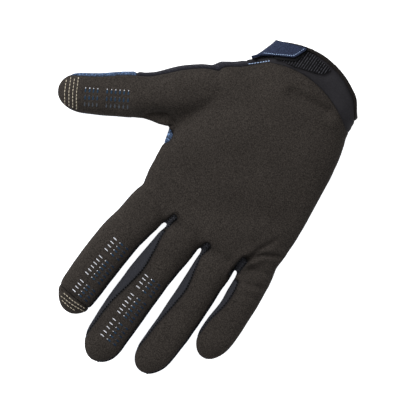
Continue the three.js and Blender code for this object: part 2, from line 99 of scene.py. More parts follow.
HAND_SECTIONS = {
    "at": [0.0, 0.12, 0.186, 0.22, 0.28, 0.324, 0.36, 0.46, 0.6, 0.74, 0.81, 0.88, 1.0],
    "shift": [-0.1, -0.1, -0.0955, -0.0715, 0.0085, 0.0765, 0.071, 0.063, 0.04, -0.022, -0.0405, -0.049,
              -0.06],
    "width": [0.61, 0.63, 0.6875, 0.7215, 0.8245, 0.9435, 0.969, 1.012, 1.035, 1.005, 0.9895, 0.984, 0.93],
    "depth": [0.96, 0.97, 0.975, 0.98, 0.99, 0.995, 1.0, 0.97, 0.9, 0.8, 0.75, 0.7, 0.63],
    "thumb_edge": [0.88, 0.88, 0.88, 0.88, 0.88, 0.88, 0.9, 0.95, 1.08, 1.08, 1.08, 1.08, 1.08],
}
FINGER_SECTIONS = {
    "at": [0.0, 0.24, 0.34, 0.45, 0.56, 0.7, 0.85, 1.0],
    "bow": [-0.6, 0.3, 0.65, 1.0, 0.95, 0.8, 0.45, 0.0],
    "width": [0.8, 0.98, 0.97, 0.98, 1.0, 0.99, 0.96, 0.92],
    "depth": [0.86, 1.0, 0.98, 0.96, 0.94, 0.9, 0.84, 0.76],
    "lift": [0.08, 0.06, 0.12, 0.22, 0.36, 0.58, 0.82, 1.0],
    "open": [0.1, 0.35, 0.7, 1.0, 0.85, 0.5, 0.35, 0.2],
    "back": [0.0, 0.0, 0.0, 0.0, 0.1, 0.4, 0.8, 1.0],
}
THUMB_SECTIONS = {
    "at": [0.0, 0.18, 0.32, 0.41, 0.5, 0.62, 0.78, 1.0],
    "bow": [0.77, 0.73, 0.25, -0.02, 0.0, 0.0, -0.17, -0.1],
    "width": [0.95, 1.255, 1.353, 1.25, 1.04, 1.03, 0.94, 0.86],
    "depth": [1.2, 1.3, 1.26, 1.15, 1.06, 1.0, 0.92, 0.8],
    "lift": [0.05, 0.05, 0.15, 0.25, 0.38, 0.55, 0.8, 1.0],
    "open": [0.9, 0.8, 0.8, 0.8, 0.8, 0.8, 0.8, 0.7],
    "back": [1.0] * 8,
}

# The seams and the closure.
PALM_SEAM = 0.48
SEAM_RISE = 0.2
BACK_SEAM = 0.2
PAST_SIDE = 1.08
PAST_TIP = 1.12
PAST_WEB = 1.02
THUMB_SEAM = 0.57
THUMB_REACH = 1.8
CAP = {"length": 9.4, "grow": 0.4, "reach": 1.15}
GAP_START = 0.1
STRIP_START = 0.35
WRIST = {"shift": -0.01, "span": 0.755, "up": 0.252, "sag": 12.5, "corner": 0}
RIM = {"shift": -0.03, "span": 0.755, "up": 0.152, "sag": 14, "corner": 4.5}
BINDING = {"width": 2, "grow": 0.4}
LAYER_GAP = 0.35
TAB = {"up": 0.176, "out": 1.9, "length": 25, "width": 10, "slant": 25.5, "wall": 1.4, "height": 3.5}
HOOK = {"wall": 0.8, "margin": 2.0, "start": 0.3}
PAD = {"wall": 1.2, "width": 11, "length": 40, "rib_pitch": 1.5, "rib_depth": 0.5}
CLIMB = (0.05, 0.45)
TAB_OUTLINE = [(-0.15, -0.35), (0.075, -0.5), (0.164, -0.63), (0.25, -0.69), (0.98, -0.52), (1.02, -0.43),
               (0.79, 0.1), (0.73, 0.18), (0.26, 0.24), (-0.03, 0.34), (-0.24, 0.6), (-0.36, 0.42)]
PAD_OUTLINE = [(0.12, -0.4), (0.68, -0.36), (1.01, 0.4), (1.03, 0.5), (0.94, 0.77), (0.89, 0.8),
               (0.45, 0.6), (0.12, 0.25)]
# The stitched line round the tab, in shares of its length and width.
TAB_STITCH_LINE = [(0.0, 0.16), (0.26, 0.14), (0.7, 0.07), (0.74, 0.02), (0.93, -0.41), (0.9, -0.46)]
WRIST_STITCH_LINE = [(24.5, -56.5), (23.0, -57.8), (14.1, -66.1)]

# The sheets that the closure's pieces are cut from: their reach round the hand and along it, and how many
# points each has across and along.
SHEETS = {
    "pad": {"turns": (0.3, 2.9), "shares": (0.04, 0.2), "steps": (260, 110)},
    "hook": {"turns": (0.3, 2.2), "shares": (0.04, 0.24), "steps": (150, 70)},
    "tab": {"turns": (-1.3, 1.9), "shares": (0.04, 0.27), "steps": (220, 90)},
}

# Creases in the palm: points over the ground, the depth at each end of the line, and the width.
CREASES = [
    ([(46.0, 3.0), (33.0, -12.0), (14.0, -38.0)], 5.6, 0.3, 8.5),
    ([(75.4, 10.5), (60.0, 5.5), (49.0, 0.5)], 0.8, 2.4, 5.0),
    ([(-39.4, 49.4), (-42.3, 37.8), (-44.9, 31.0), (-49.8, 20.2)], 2.2, 0.6, 1.6),
    ([(-43.0, 38.8), (-49.0, 31.7), (-56.8, 27.1)], 1.8, 1.4, 1.3),
    ([(-47.5, 53.7), (-58.8, 49.0)], 0.5, 1.0, 1.5),
    ([(-49.0, 59.5), (-61.0, 56.3)], 0.3, 0.6, 1.5),
    ([(-46.0, 44.0), (-57.5, 40.0)], 0.3, 0.6, 1.4),
    ([(-7.3, -56.9), (-20.5, -58.8), (-30.5, -59.2)], 1.6, 2.4, 3.2),
    ([(12.4, 37.9), (-17.7, 23.5), (-42.0, 11.0)], 0.9, 0.9, 7.0),
]

# The gathers sewn at the crotches: each one's place on the ground, and the way that the fingers point.
GATHERS = {"places": [(9.1, 45.6), (-16.7, 49.6), (-40.5, 43.0)], "turns": [15, 20, 4], "half_width": 2.3,
           "pitch": 1.5, "count": 4, "start": 1.5, "bulge": 1.7, "steps": 8}

# The knit that shows in the crotch of the thumb: its middle, how far it reaches across, and along.
GUSSET = {"middle": (40.4, 6.6), "across": 2.9, "along": 4.6}

# Where the jersey shows at each crotch, as a line on the ground and its half width.
OPEN_WEBS = {
    ("index", "middle"): ([(10.2, 51.0), (8.5, 44.6)], 1.7),
    ("middle", "ring"): ([(-15.0, 55.0), (-17.4, 47.6)], 2.1),
    ("ring", "little"): ([(-39.9, 53.0), (-40.7, 41.5)], 1.8),
}

# The grip print: each group's distances from the fingertip, and how far across its first row lies.
GRIP = {
    "index": [([51.9, 49.1, 46.5, 43.6], 4.4), ([38.2, 35.6, 33.1, 30.5, 28.0, 25.4], 4.1),
              ([19.9, 17.5, 15.1, 12.5], 3.4)],
    "middle": [([60.0, 57.4, 54.6, 51.6], 3.6), ([45.9, 43.2, 40.4, 37.8, 35.0, 32.8], 3.7),
               ([27.6, 24.5, 21.6, 18.6, 15.8], 3.3)],
    "thumb": [([24.4, 21.9, 19.6, 17.1], 0.2), ([42.9, 40.3, 37.8, 35.2, 32.7, 30.1], 0.2)],
}

# The rows of tan thread: distance from the tip and how far across, at both ends of each row.
THREAD_ROWS = {
    "index": [((7.3, 8.1), (8.3, -8.9)), ((4.9, 7.4), (6.6, -9.3)), ((3.4, 6.1), (3.7, -5.8))],
    "thumb": [((5.1, 6.7), (5.1, -9.1)), ((7.7, 7.6), (7.7, -9.8)), ((10.0, 7.7), (10.0, -10.4)),
              ((12.3, 7.9), (12.3, -11.1))],
}

# The parts that the skin is cut into, in the order of their numbers.
GAPS = [("index", "middle"), ("middle", "ring"), ("ring", "little")]
FOURCHETTES = ["fourchette_" + "_".join(pair) for pair in GAPS]
PARTS = ["back_panel", "rim_binding", "cuff", "index_tip_cap", "palm_panel", "thumb_back", *FOURCHETTES,
         "side_panel", "thumb_gusset"]
# These seams are pressed flat, so they hardly show.
FLAT_SEAMS = [{"index_tip_cap", "palm_panel"}, {"cuff", "palm_panel"}]
FLAT_STRENGTH = 0.4
# How far from a seam the cloth's colour is darkened with painted shade.
DARK_REACH = 1.3
# An edge's end within this share of a cut is moved on to it, so no slivers are left.
SNAP_SHARE = 0.22
# A step between two draped places that is longer than this starts a new run of stitches.
LONGEST_STEP = 3

# The stitches of each piece: the size of one, how high it stands, and the pitch where nothing else sets it.
STITCHES = {
    "palm_seam_stitches": {"size": (1.3, 0.75, 0.5), "lift": 0.15},
    "web_gathers": {"size": (1.0, 0.3, 0.3), "lift": 0.02, "pitch": 0.7},
    "wrist_stitches": {"size": (1.35, 0.6, 0.4), "lift": 0.08, "pitch": 1.7},
    "tab_stitches": {"size": (1.15, 0.34, 0.3), "lift": 0.05, "pitch": 1.35},
    "thread_rows": {"size": (1.65, 0.5, 0.36), "lift": 0.06},
}

# Each mark's distance across from its row's start, and its kind.
LONG_ROWS = [(0.0, "white"), (-3.7, "white_dot"), (-5.1, "blue"), (-8.0, "grey_dot"), (-9.4, "navy")]
THUMB_ROWS = [(1.6, "white_dot"), (0.1, "blue"), (-2.9, "grey_dot"), (-4.3, "blue"), (-7.2, "grey_dot"),
              (-8.4, "grey")]
# The pieces of the print: name, shape, size of one mark, kind and ink.
PRINT_PIECES = [
    ("white_dashes", "dash", (2.7, 0.55, 0.3), "white", "white"),
    ("white_dots", "dot", (0.72, 0.66, 0.3), "white_dot", "white"),
    ("blue_dashes", "dash", (2.2, 0.9, 0.24), "blue", "blue"),
    ("navy_dashes", "dash", (2.0, 0.9, 0.22), "navy", "dark"),
    ("grey_dashes", "dash", (1.9, 0.85, 0.22), "grey", "grey"),
    ("grey_dots", "dot", (0.62, 0.6, 0.24), "grey_dot", "grey"),
]

# The stage, in metres: what the lights aim at, and each one's place from there and its size.
AIM = (-0.005, 0.028, 0.01)
LIGHTS = {"key": ((0.8, -0.37, 0.75), 0.7), "fill": ((-0.2, 0.3, 1.3), 1.2)}
WORLD_STRENGTH = 0.14
CAMERA_SPOT = (-0.00485, 0.028, 0.015)
PICTURE_RIGHT = (-0.8216, -0.57, 0)
PICTURE_UP = (0.57, -0.8216, 0)
SENSOR = 36


def linear(code):
    """An sRGB hex colour as three linear numbers."""
    values = [int(code[i:i + 2], 16) / 255 for i in (1, 3, 5)]
    return tuple(v / 12.92 if v <= 0.04045 else ((v + 0.055) / 1.055) ** 2.4 for v in values)


def colour_of(name, description, code):
    """A colour that the user can change, from its sRGB hex value."""
    return bpy.props.FloatVectorProperty(
        name=name, description=description, subtype="COLOR", size=3, min=0, max=1, default=linear(code))


def length_of(name, description, millimetres):
    """A length that the user can change, from its size in millimetres."""
    return bpy.props.FloatProperty(
        name=name, description=description, subtype="DISTANCE", unit="LENGTH", min=0,
        precision=5, default=millimetres * MM)


class GloveCloth(bpy.types.PropertyGroup):
    """Sizes of the cloth and its seams."""
    fineness: length_of("Fineness", "Spacing of the points on the cloth", 0.8)
    panel_wall: length_of("Panel wall", "Thickness of the hand's panels", 1.3)
    cuff_wall: length_of("Cuff wall", "Thickness of the cuff and its binding", 2.0)
    seam_depth: length_of("Seam depth", "How far the cloth dips into a seam", 0.55)
    seam_width: length_of("Seam width", "How wide the dip at a seam is", 0.9)
    seam_gap: length_of("Seam gap", "How far each panel's edge keeps from the seam's line", 0.1)
    unevenness: length_of("Unevenness", "How far the soft cloth rises and falls", 0.35)
    stitch_pitch: length_of("Stitch pitch", "Distance from one seam stitch to the next", 1.8)
    thread_pitch: length_of("Thread row pitch", "Distance from one tan stitch to the next", 2.1)


class GloveColours(bpy.types.PropertyGroup):
    """Colours of the cloth, the print and the threads."""
    suede: colour_of("Suede", "The palm's synthetic suede", "#322e2b")
    knit: colour_of("Heather knit", "The back's heather knit", "#4a5c78")
    side: colour_of("Side knit", "The dark knit of the side panel", "#2a2a30")
    stretch: colour_of("Stretch jersey", "The fourchettes' stretch jersey", "#323338")
    cuff: colour_of("Cuff cloth", "The cuff's dense cloth", "#2c2b2e")
    binding: colour_of("Binding", "The tape round the rim", "#1e1b1a")
    loop: colour_of("Loop tape", "The ribbed pad", "#141416")
    hook: colour_of("Hook tape", "The hook tape under the tab", "#0a0a0c")
    tab: colour_of("Tab", "The tab's heather cloth", "#242b3e")
    tan_thread: colour_of("Tan thread", "The conductive rows on index and thumb", "#c4baa6")
    blue_thread: colour_of("Light blue thread", "The stitches at the wrist and round the tab", "#a3b9dc")
    black_thread: colour_of("Black thread", "The seam stitches", "#060607")
    white_print: colour_of("White print", "The bright silicone dashes", "#d2d4db")
    blue_print: colour_of("Blue print", "The blue silicone dashes", "#22384d")
    navy_print: colour_of("Navy print", "The outermost dashes on the fingers", "#1c2c3f")
    grey_print: colour_of("Grey print", "The faint dots, and the thumb's last row", "#4a5058")


class GloveStage(bpy.types.PropertyGroup):
    """The floor, the lights and the camera."""
    view_width: length_of("View width", "Width of the floor that the camera sees", 249.6)
    camera_height: length_of("Camera height", "Distance from the camera to the glove", 2000)
    floor: colour_of("Floor", "The pale floor", "#f4f4f4")
    table_glow: bpy.props.FloatProperty(
        name="Table glow", description="Light from the floor itself", min=0, default=0.9)
    key_power: bpy.props.FloatProperty(
        name="Key power", description="Power of the large soft light", min=0, default=15)
    fill_power: bpy.props.FloatProperty(
        name="Fill power", description="Power of the light from above", min=0, default=6.5)


def sample(table, at, column):
    """A table's column at places along it, on one smooth curve through the rows."""
    stops = np.array(table["at"])
    values = np.array(table[column])
    at = np.asarray(at, float)
    last = len(stops) - 1
    row = np.clip(np.searchsorted(stops, at, side="left") - 1, 0, last - 1)
    t = np.clip((at - stops[row]) / (stops[row + 1] - stops[row]), 0, 1)
    p, q = values[np.maximum(row - 1, 0)], values[row]
    r, s = values[row + 1], values[np.minimum(row + 2, last)]
    slope, next_slope = (r - p) / 2, (s - q) / 2
    cubic = 2 * q - 2 * r + slope + next_slope
    square = 3 * r - 3 * q - 2 * slope - next_slope
    return ((cubic * t + square) * t + slope) * t + q


def hand_spot(up, out):
    """A place on the ground, out from the hand's middle and up from its rim."""
    return np.array([HAND["centre_x"] + out * HAND["half_width"], HAND["wrist_y"] + up * HAND["length"]])


def table_of(name):
    return THUMB_SECTIONS if name == "thumb" else FINGER_SECTIONS


def finger_axes(name):
    """A finger's root on the ground, and the directions along and across it."""
    finger = FINGERS[name]
    splay = math.radians(finger["splay"])
    along = np.array([math.sin(splay), math.cos(splay)])
    return hand_spot(finger["up"], finger["out"]), along, np.array([along[1], -along[0]])


def finger_place(name, at):
    """The section of a finger at a share along its axis."""
    finger, table = FINGERS[name], table_of(name)
    root, along, across = finger_axes(name)
    shares = np.minimum(np.asarray(at, float), 1)
    bow = finger["bow"] * sample(table, shares, "bow")
    half_width = finger["half_width"] * sample(table, shares, "width")
    for amount, middle, reach, side in NIPS.get(name, []):
        drawn = 0.5 * amount * np.exp(-((shares - middle) / reach) ** 2)
        half_width = half_width - drawn
        bow = bow - side * drawn
    return {
        "spot": root + np.multiply.outer(np.asarray(at, float) * finger["length"], along)
        + np.multiply.outer(bow, across),
        "across": across,
        "bow": bow,
        "half_width": half_width,
        "depth": finger["depth"] * sample(table, shares, "depth"),
        "floor": finger["curl"] * sample(table, shares, "lift") - SUNK,
        "open": finger["turn"] * sample(table, shares, "open"),
        "back": np.clip(sample(table, shares, "back"), 0, 1),
        "sag": 0,
    }


def hand_place(at):
    """The section of the hand at a share of its length."""
    shares = np.clip(np.asarray(at, float), 0, 1)
    shift = HAND["half_width"] * sample(HAND_SECTIONS, shares, "shift")
    x = HAND["centre_x"] + shift
    y = HAND["wrist_y"] + np.asarray(at, float) * HAND["length"]
    return {
        "spot": np.stack([x + 0 * y, y], -1),
        "across": np.array([1.0, 0.0]),
        "half_width": HAND["half_width"] * sample(HAND_SECTIONS, shares, "width"),
        "depth": HAND["depth"] * sample(HAND_SECTIONS, shares, "depth"),
        "floor": -SUNK + 0 * shares,
        "sag": HAND["web_sag"] * shares ** 4,
        "thumb_edge": sample(HAND_SECTIONS, shares, "thumb_edge"),
    }


def in_finger(name, points):
    """Each point's share along a finger, its distance across it, and the sections there."""
    root, along, across = finger_axes(name)
    offset = points[:, :2] - root
    share = offset @ along / FINGERS[name]["length"]
    place = finger_place(name, share)
    return share, offset @ across - place["bow"], place


def in_hand(points):
    """Each point's share along the hand, its distance across it, and the sections there."""
    share = (points[:, 1] - HAND["wrist_y"]) / HAND["length"]
    place = hand_place(share)
    return share, points[:, 0] - place["spot"][:, 0], place


def ring_points(place, turns, grow=0.0, close=1.0, squat=1.0):
    """Points round one section of the form. A turn of 0 is the thumb side, and a quarter is the palm."""
    turns = np.asarray(turns) % TAU
    power = np.where(turns > math.pi, 2 / BACK_POWER, 2 / PALM_POWER)
    wide = np.sign(np.cos(turns)) * np.abs(np.cos(turns)) ** power
    high = np.sign(np.sin(turns)) * np.abs(np.sin(turns)) ** power
    u = wide * (place["half_width"] + grow) * close
    z = place["floor"] + place["depth"] / 2 + high * (place["depth"] / 2 + grow) * close * squat
    drop = place["sag"] * (u / place["half_width"]) ** 2
    x = place["spot"][..., 0] + u * place["across"][0]
    y = place["spot"][..., 1] + u * place["across"][1] - drop
    return np.stack([x, y, z], -1)


def sleeve(bm, rings, sides):
    """A closed tube through sections, each a place with how far it is closed in and squashed."""
    loops = []
    for place, close, squat in rings:
        circle = bmesh.ops.create_circle(bm, segments=sides, radius=1)["verts"]
        turns = [math.atan2(v.co.y, v.co.x) for v in circle]
        for vert, spot in zip(circle, ring_points(place, turns, 0, close, squat)):
            vert.co = spot
        loops.append(list({edge for vert in circle for edge in vert.link_edges}))
    bmesh.ops.contextual_create(bm, geom=loops[0])
    for first, second in zip(loops, loops[1:]):
        bmesh.ops.bridge_loops(bm, edges=first + second)
    bmesh.ops.contextual_create(bm, geom=loops[-1])


def finger_sleeve(bm, name):
    """One finger of the skin, rounded over its tip."""
    length = FINGERS[name]["length"]
    straight = 1 - TIP_ROUND / length
    rings = [(finger_place(name, straight * i / 20), 1.0, 1.0) for i in range(21)]
    for i in range(1, 10):
        angle = i / 9.4 * math.pi / 2
        place = finger_place(name, straight + TIP_ROUND * math.sin(angle) / length)
        rings.append((place, math.cos(angle), 1.0))
    sleeve(bm, rings, 36)


def hand_sleeve(bm):
    """The body of the hand, rounded down into the webs."""
    straight = 1 - HAND["web_round"] / HAND["length"]
    rings = [(hand_place(straight * i / 30), 1.0, 1.0) for i in range(31)]
    for i in range(1, 6):
        angle = i / 6 * math.pi / 2
        place = hand_place(straight + HAND["web_round"] * math.sin(angle) / HAND["length"])
        rings.append((place, 1.0, math.cos(angle)))
    sleeve(bm, rings, 72)


def evaluated(obj):
    """A copy of an object's mesh with its modifiers applied. The object is removed."""
    bpy.context.view_layer.update()
    graph = bpy.context.evaluated_depsgraph_get()
    mesh = bpy.data.meshes.new_from_object(obj.evaluated_get(graph))
    old = obj.data
    bpy.data.objects.remove(obj)
    bpy.data.meshes.remove(old)
    return mesh


def link_mesh(bm, name):
    """A bmesh as an object in the scene."""
    mesh = bpy.data.meshes.new(name)
    bm.to_mesh(mesh)
    bm.free()
    obj = bpy.data.objects.new(name, mesh)
    bpy.context.scene.collection.objects.link(obj)
    return obj


def places_of(bm):
    return np.array([v.co for v in bm.verts])


def smooth_step(values, low, high):
    t = np.clip((values - low) / (high - low), 0, 1)
    return t * t * (3 - 2 * t)


def line_distance(points, line):
    """The distance on the ground from points to a chain of straight pieces, and how far along each is."""
    nearest = np.full(len(points), np.inf)
    travelled = np.zeros(len(points))
    for i, (start, end) in enumerate(zip(line, line[1:])):
        start, end = np.array(start, float), np.array(end, float)
        step = end - start
        t = np.clip((points[:, :2] - start) @ step / (step @ step), 0, 1)
        gap = points[:, :2] - (start + t[:, None] * step)
        gap = np.hypot(gap[:, 0], gap[:, 1])
        travelled = np.where(gap < nearest, (i + t) / (len(line) - 1), travelled)
        nearest = np.minimum(nearest, gap)
    return nearest, travelled


def soften(bm, points, unevenness):
    """Presses the creases into the palm and lets the cloth rise and fall a little."""
    bm.normal_update()
    normals = np.array([v.normal for v in bm.verts])
    facing = smooth_step(normals[:, 2], 0.1, 0.6)
    move = np.zeros(len(points))
    for line, first, last, width in CREASES:
        gap, along = line_distance(points, line)
        shape = np.exp(-(gap / width) ** 2) - 0.3 * np.exp(-((gap - 2.2 * width) / (1.3 * width)) ** 2)
        move -= (first + (last - first) * along) * shape * facing
    aside = Vector((9, 4, 2))
    wave = np.array([
        noise.noise(Vector(p) * 0.045) + 0.4 * noise.noise(Vector(p) * 0.13 + aside) for p in points])
    move += unevenness * wave * smooth_step(points[:, 2], 0.5, 4)
    return points + normals * move[:, None]


def glove_skin(fineness, unevenness):
    """The glove's whole outer surface, as one even mesh in millimetres."""
    bm = bmesh.new()
    hand_sleeve(bm)
    for name in FINGERS:
        finger_sleeve(bm, name)
    bmesh.ops.recalc_face_normals(bm, faces=bm.faces)
    obj = link_mesh(bm, "glove_skin")
    remesh = obj.modifiers.new("even", "REMESH")
    remesh.mode = "VOXEL"
    remesh.voxel_size = fineness
    mesh = evaluated(obj)
    bm = bmesh.new()
    bm.from_mesh(mesh)
    bpy.data.meshes.remove(mesh)
    for _ in range(6):
        bmesh.ops.smooth_vert(
            bm, verts=bm.verts, factor=0.5, use_axis_x=True, use_axis_y=True, use_axis_z=True)
    points = soften(bm, places_of(bm), unevenness)
    points[:, 2] = np.maximum(points[:, 2], 0)
    for vert, spot in zip(bm.verts, points):
        vert.co = spot
    return bm


def arc_field(arc, points):
    """How far points are on the fingers' side of an arc across the wrist."""
    middle = hand_spot(arc["up"], arc["shift"])
    share = np.clip((points[:, 0] - middle[0]) / (arc["span"] * HAND["half_width"]), -1, 1)
    lift = arc["corner"] * smooth_step(-share, 0.7, 1.0) ** 2
    return points[:, 1] - middle[1] + arc["sag"] * (1 - share ** 2) - lift


def finger_zone(name, points, palm):
    """Above zero where the palm panel, or the back panel, is a finger's outer wall."""
    share, u, place = in_finger(name, points)
    length = FINGERS[name]["length"]
    limit = np.minimum(share * length, (PAST_TIP - share) * length)
    side = PAST_SIDE * place["half_width"]
    if palm:
        # The seam is turned up on the side next to the following finger, so it shows from the palm.
        turned = SEAM_RISE if name in ("index", "middle", "ring") else 0
        rise = turned * smooth_step(-u / place["half_width"], 0, 0.6) * smooth_step(share, 0.2, 0.35)
        height = points[:, 2] - place["floor"] - place["depth"] * (PALM_SEAM + rise)
        edge = (PAST_SIDE - place["open"]) * place["half_width"] - u
        return np.minimum.reduce([height, edge, u + side, limit])
    seam = BACK_SEAM + (PALM_SEAM - BACK_SEAM) * place["back"]
    height = place["floor"] + place["depth"] * seam - points[:, 2]
    return np.minimum.reduce([height, side - np.abs(u), limit])


def hand_zone(points, palm):
    """The same zones on the body of the hand."""
    share, u, place = in_hand(points)
    limit = (PAST_WEB - share) * HAND["length"]
    seam = place["floor"] + place["depth"] * (PALM_SEAM if palm else BACK_SEAM)
    left = PAST_SIDE * place["half_width"] + u
    height = points[:, 2] - seam if palm else seam - points[:, 2]
    edge = place["thumb_edge"] if palm else PAST_SIDE
    return np.minimum.reduce([height, left, edge * place["half_width"] - u, limit])


def palm_zone(points):
    fingers = [finger_zone(name, points, True) for name in FINGERS]
    return np.maximum.reduce([hand_zone(points, True), *fingers])


def back_zone(points):
    fingers = [finger_zone(name, points, False) for name in FINGERS if name != "thumb"]
    return np.maximum.reduce([hand_zone(points, False), *fingers])


def thumb_zone(points):
    share, u, _ = in_finger("thumb", points)
    finger = FINGERS["thumb"]
    from_seam = (share - THUMB_SEAM) * finger["length"]
    return np.minimum(from_seam, THUMB_REACH * finger["half_width"] - np.abs(u))


def cap_zone(points):
    share, u, _ = in_finger("index", points)
    finger = FINGERS["index"]
    from_seam = share * finger["length"] - (finger["length"] - CAP["length"])
    return np.minimum(from_seam, CAP["reach"] * finger["half_width"] - np.abs(u))


def gap_zone(pair, points):
    """Above zero on the walls between two fingers."""
    first_share, first_u, _ = in_finger(pair[0], points)
    second_share, second_u, _ = in_finger(pair[1], points)
    start = np.minimum(
        (first_share - GAP_START) * FINGERS[pair[0]]["length"],
        (second_share - GAP_START) * FINGERS[pair[1]]["length"])
    return np.minimum.reduce([-first_u, second_u, start, -back_zone(points)])


def side_zone(points):
    inner = HAND["centre_x"] + HAND["half_width"] * STRIP_START
    top = finger_place("thumb", THUMB_SEAM)["spot"][1] + FINGERS["thumb"]["half_width"]
    others = [-thumb_zone(points), -back_zone(points)]
    return np.minimum.reduce([points[:, 0] - inner, top - points[:, 1], *others])


def gusset_zone(points):
    x, y = GUSSET["middle"]
    return 1 - np.hypot((points[:, 0] - x) / GUSSET["across"], (points[:, 1] - y) / GUSSET["along"])


def open_web_zone(pair, points):
    line, half_width = OPEN_WEBS[pair]
    gap, _ = line_distance(points, line)
    return half_width - gap


def cut_along(bm, field, source=0, target=1):
    """Cuts one part's faces where a field is zero. The side above zero goes to another part."""
    part = bm.faces.layers.int["part"]
    kept = bm.verts.layers.float["field"]
    bm.verts.index_update()
    value = field(places_of(bm))
    edges = [e for e in bm.edges if any(f[part] == source for f in e.link_faces)]
    ends = np.array([[e.verts[0].index, e.verts[1].index] for e in edges])
    a, b = value[ends[:, 0]], value[ends[:, 1]]
    crossing = np.flatnonzero(a * b < 0)
    snapped = {}
    for i in crossing:
        t = a[i] / (a[i] - b[i])
        near, share = (0, t) if t < 0.5 else (1, 1 - t)
        corner = int(ends[i, near])
        if share < SNAP_SHARE and share < snapped.get(corner, (1,))[0]:
            snapped[corner] = (share, edges[i].verts[near], edges[i].verts[1 - near])
    moved = {corner: vert.co.lerp(other.co, share) for corner, (share, vert, other) in snapped.items()}
    for corner, (_, vert, _) in snapped.items():
        vert.co = moved[corner]
        value[corner] = 0
    for vert in bm.verts:
        vert[kept] = value[vert.index]
    on_line = [vert for _, vert, _ in snapped.values()]
    for i in crossing:
        first, second = value[ends[i, 0]], value[ends[i, 1]]
        if first * second < 0:
            vert = bmesh.utils.edge_split(edges[i], edges[i].verts[0], first / (first - second))[1]
            vert[kept] = 0
            on_line.append(vert)
    others = [f for f in bm.faces if f[part] != source]
    bmesh.ops.connect_verts(bm, verts=on_line, faces_exclude=others)
    for face in bm.faces:
        if face[part] == source and sum(v[kept] for v in face.verts) > 0:
            face[part] = target


def cut_panels(bm):
    """Cuts the skin along every seam and numbers each panel's faces."""
    bm.verts.layers.float.new("field")
    part = bm.faces.layers.int.new("part")
    waste = len(PARTS)
    number = {name: i for i, name in enumerate(PARTS)}
    cut_along(bm, lambda p: -arc_field(RIM, p), 0, waste)
    cut_along(bm, lambda p: BINDING["width"] - arc_field(RIM, p), 0, number["rim_binding"])
    cut_along(bm, lambda p: -arc_field(WRIST, p), 0, number["cuff"])
    bmesh.ops.delete(bm, geom=[f for f in bm.faces if f[part] == waste], context="FACES")
    cut_along(bm, cap_zone, 0, number["index_tip_cap"])
    cut_along(bm, palm_zone, 0, number["palm_panel"])
    cut_along(bm, thumb_zone, 0, number["thumb_back"])
    for pair, name in zip(GAPS, FOURCHETTES):
        cut_along(bm, lambda p, pair=pair: gap_zone(pair, p), 0, number[name])
    cut_along(bm, side_zone, 0, number["side_panel"])
    cut_along(bm, gusset_zone, number["palm_panel"], number["thumb_gusset"])
    for pair, name in zip(GAPS, FOURCHETTES):
        cut_along(bm, lambda p, pair=pair: open_web_zone(pair, p), number["palm_panel"], number[name])


def nearest_tree(spots):
    """A tree that finds the nearest of some places."""
    tree = KDTree(len(spots))
    for i, spot in enumerate(spots):
        tree.insert(spot, i)
    tree.balance()
    return tree


def to_metres(bm):
    bmesh.ops.scale(bm, vec=(MM, MM, MM), verts=bm.verts)


def sink_seams(bm, depth, width):
    """Lets the cloth dip where two panels are sewn together, and keeps how near each point is to a seam, for
    the painted shade there.
    """
    part = bm.faces.layers.int["part"]
    near = bm.verts.layers.float.new("seam")
    seams = [(v.co.copy(), {PARTS[f[part]] for f in v.link_faces}) for v in bm.verts]
    seams = [(spot, sides) for spot, sides in seams if len(sides) > 1]
    tree = nearest_tree([spot for spot, _ in seams])
    bm.normal_update()
    moves = []
    for vert in bm.verts:
        _, i, gap = tree.find(vert.co)
        strength = FLAT_STRENGTH if seams[i][1] in FLAT_SEAMS else 1.0
        # How much painted shade the materials put here, less at the flat seams.
        vert[near] = strength * math.exp(-gap / DARK_REACH)
        dip = strength * depth * math.exp(-(gap / width) ** 2)
        swell = 0.3 * depth * math.exp(-((gap - 2.4 * width) / (1.2 * width)) ** 2)
        moves.append((swell - dip) * vert.normal)
    for vert, move in zip(bm.verts, moves):
        vert.co += move
        vert.co.z = max(vert.co.z, 0)


def cloth_map(bm, points, owner):
    """Lays the cloth's own grid over a panel, in millimetres along and round the limb that it covers."""
    layer = bm.loops.layers.uv.new("cloth")
    if owner == "cuff":
        _, u, place = in_hand(points)
        top = place["floor"] + place["depth"] - points[:, 2]
        over = points[:, 2] > place["floor"] + place["depth"] / 2
        round_ = np.sign(u) * np.where(over, np.abs(u) + top, 2 * place["half_width"] - np.abs(u) + top)
        along = points[:, 1]
    else:
        names = ["thumb"] if owner == "thumb" else ["index", "middle", "ring", "little"]
        round_, along = points[:, 0] + points[:, 2], points[:, 1]
        best = np.full(len(points), 1.0)
        for name in names:
            share, u, place = in_finger(name, points)
            level = points[:, 2] - place["floor"]
            inside = np.abs(u) / place["half_width"]
            chosen = (inside < best + 0.3) & (share > (0.3 if name != "thumb" else 0))
            under = points[:, 2] < place["floor"] + place["depth"] / 2
            far = 2 * place["half_width"] - np.abs(u) + level
            ring = np.sign(u) * np.where(under, np.abs(u) + level, far)
            round_ = np.where(chosen, ring + 40 * names.index(name), round_)
            along = np.where(chosen, share * FINGERS[name]["length"], along)
            best = np.where(chosen, inside, best)
    for face in bm.faces:
        for loop in face.loops:
            loop[layer].uv = (round_[loop.vert.index], along[loop.vert.index])


def pull_edges(bm, gap):
    """Draws a panel's edge back from the seam's line."""
    moves = []
    for vert in bm.verts:
        if vert.is_boundary:
            inner = [e.other_vert(vert).co for e in vert.link_edges if not e.is_boundary]
            if inner:
                step = sum(inner, Vector()) / len(inner) - vert.co
                moves.append((vert, step * min(gap / max(step.length, 1e-6), 0.4)))
    for vert, move in moves:
        vert.co += move


def add_node(tree, kind, settings, inputs):
    """Adds a node, and sets or links its inputs."""
    node = tree.nodes.new(kind)
    for key, value in settings.items():
        setattr(node, key, value)
    for key, value in inputs.items():
        if isinstance(value, bpy.types.NodeSocket):
            tree.links.new(value, node.inputs[key])
        else:
            node.inputs[key].default_value = value
    return node


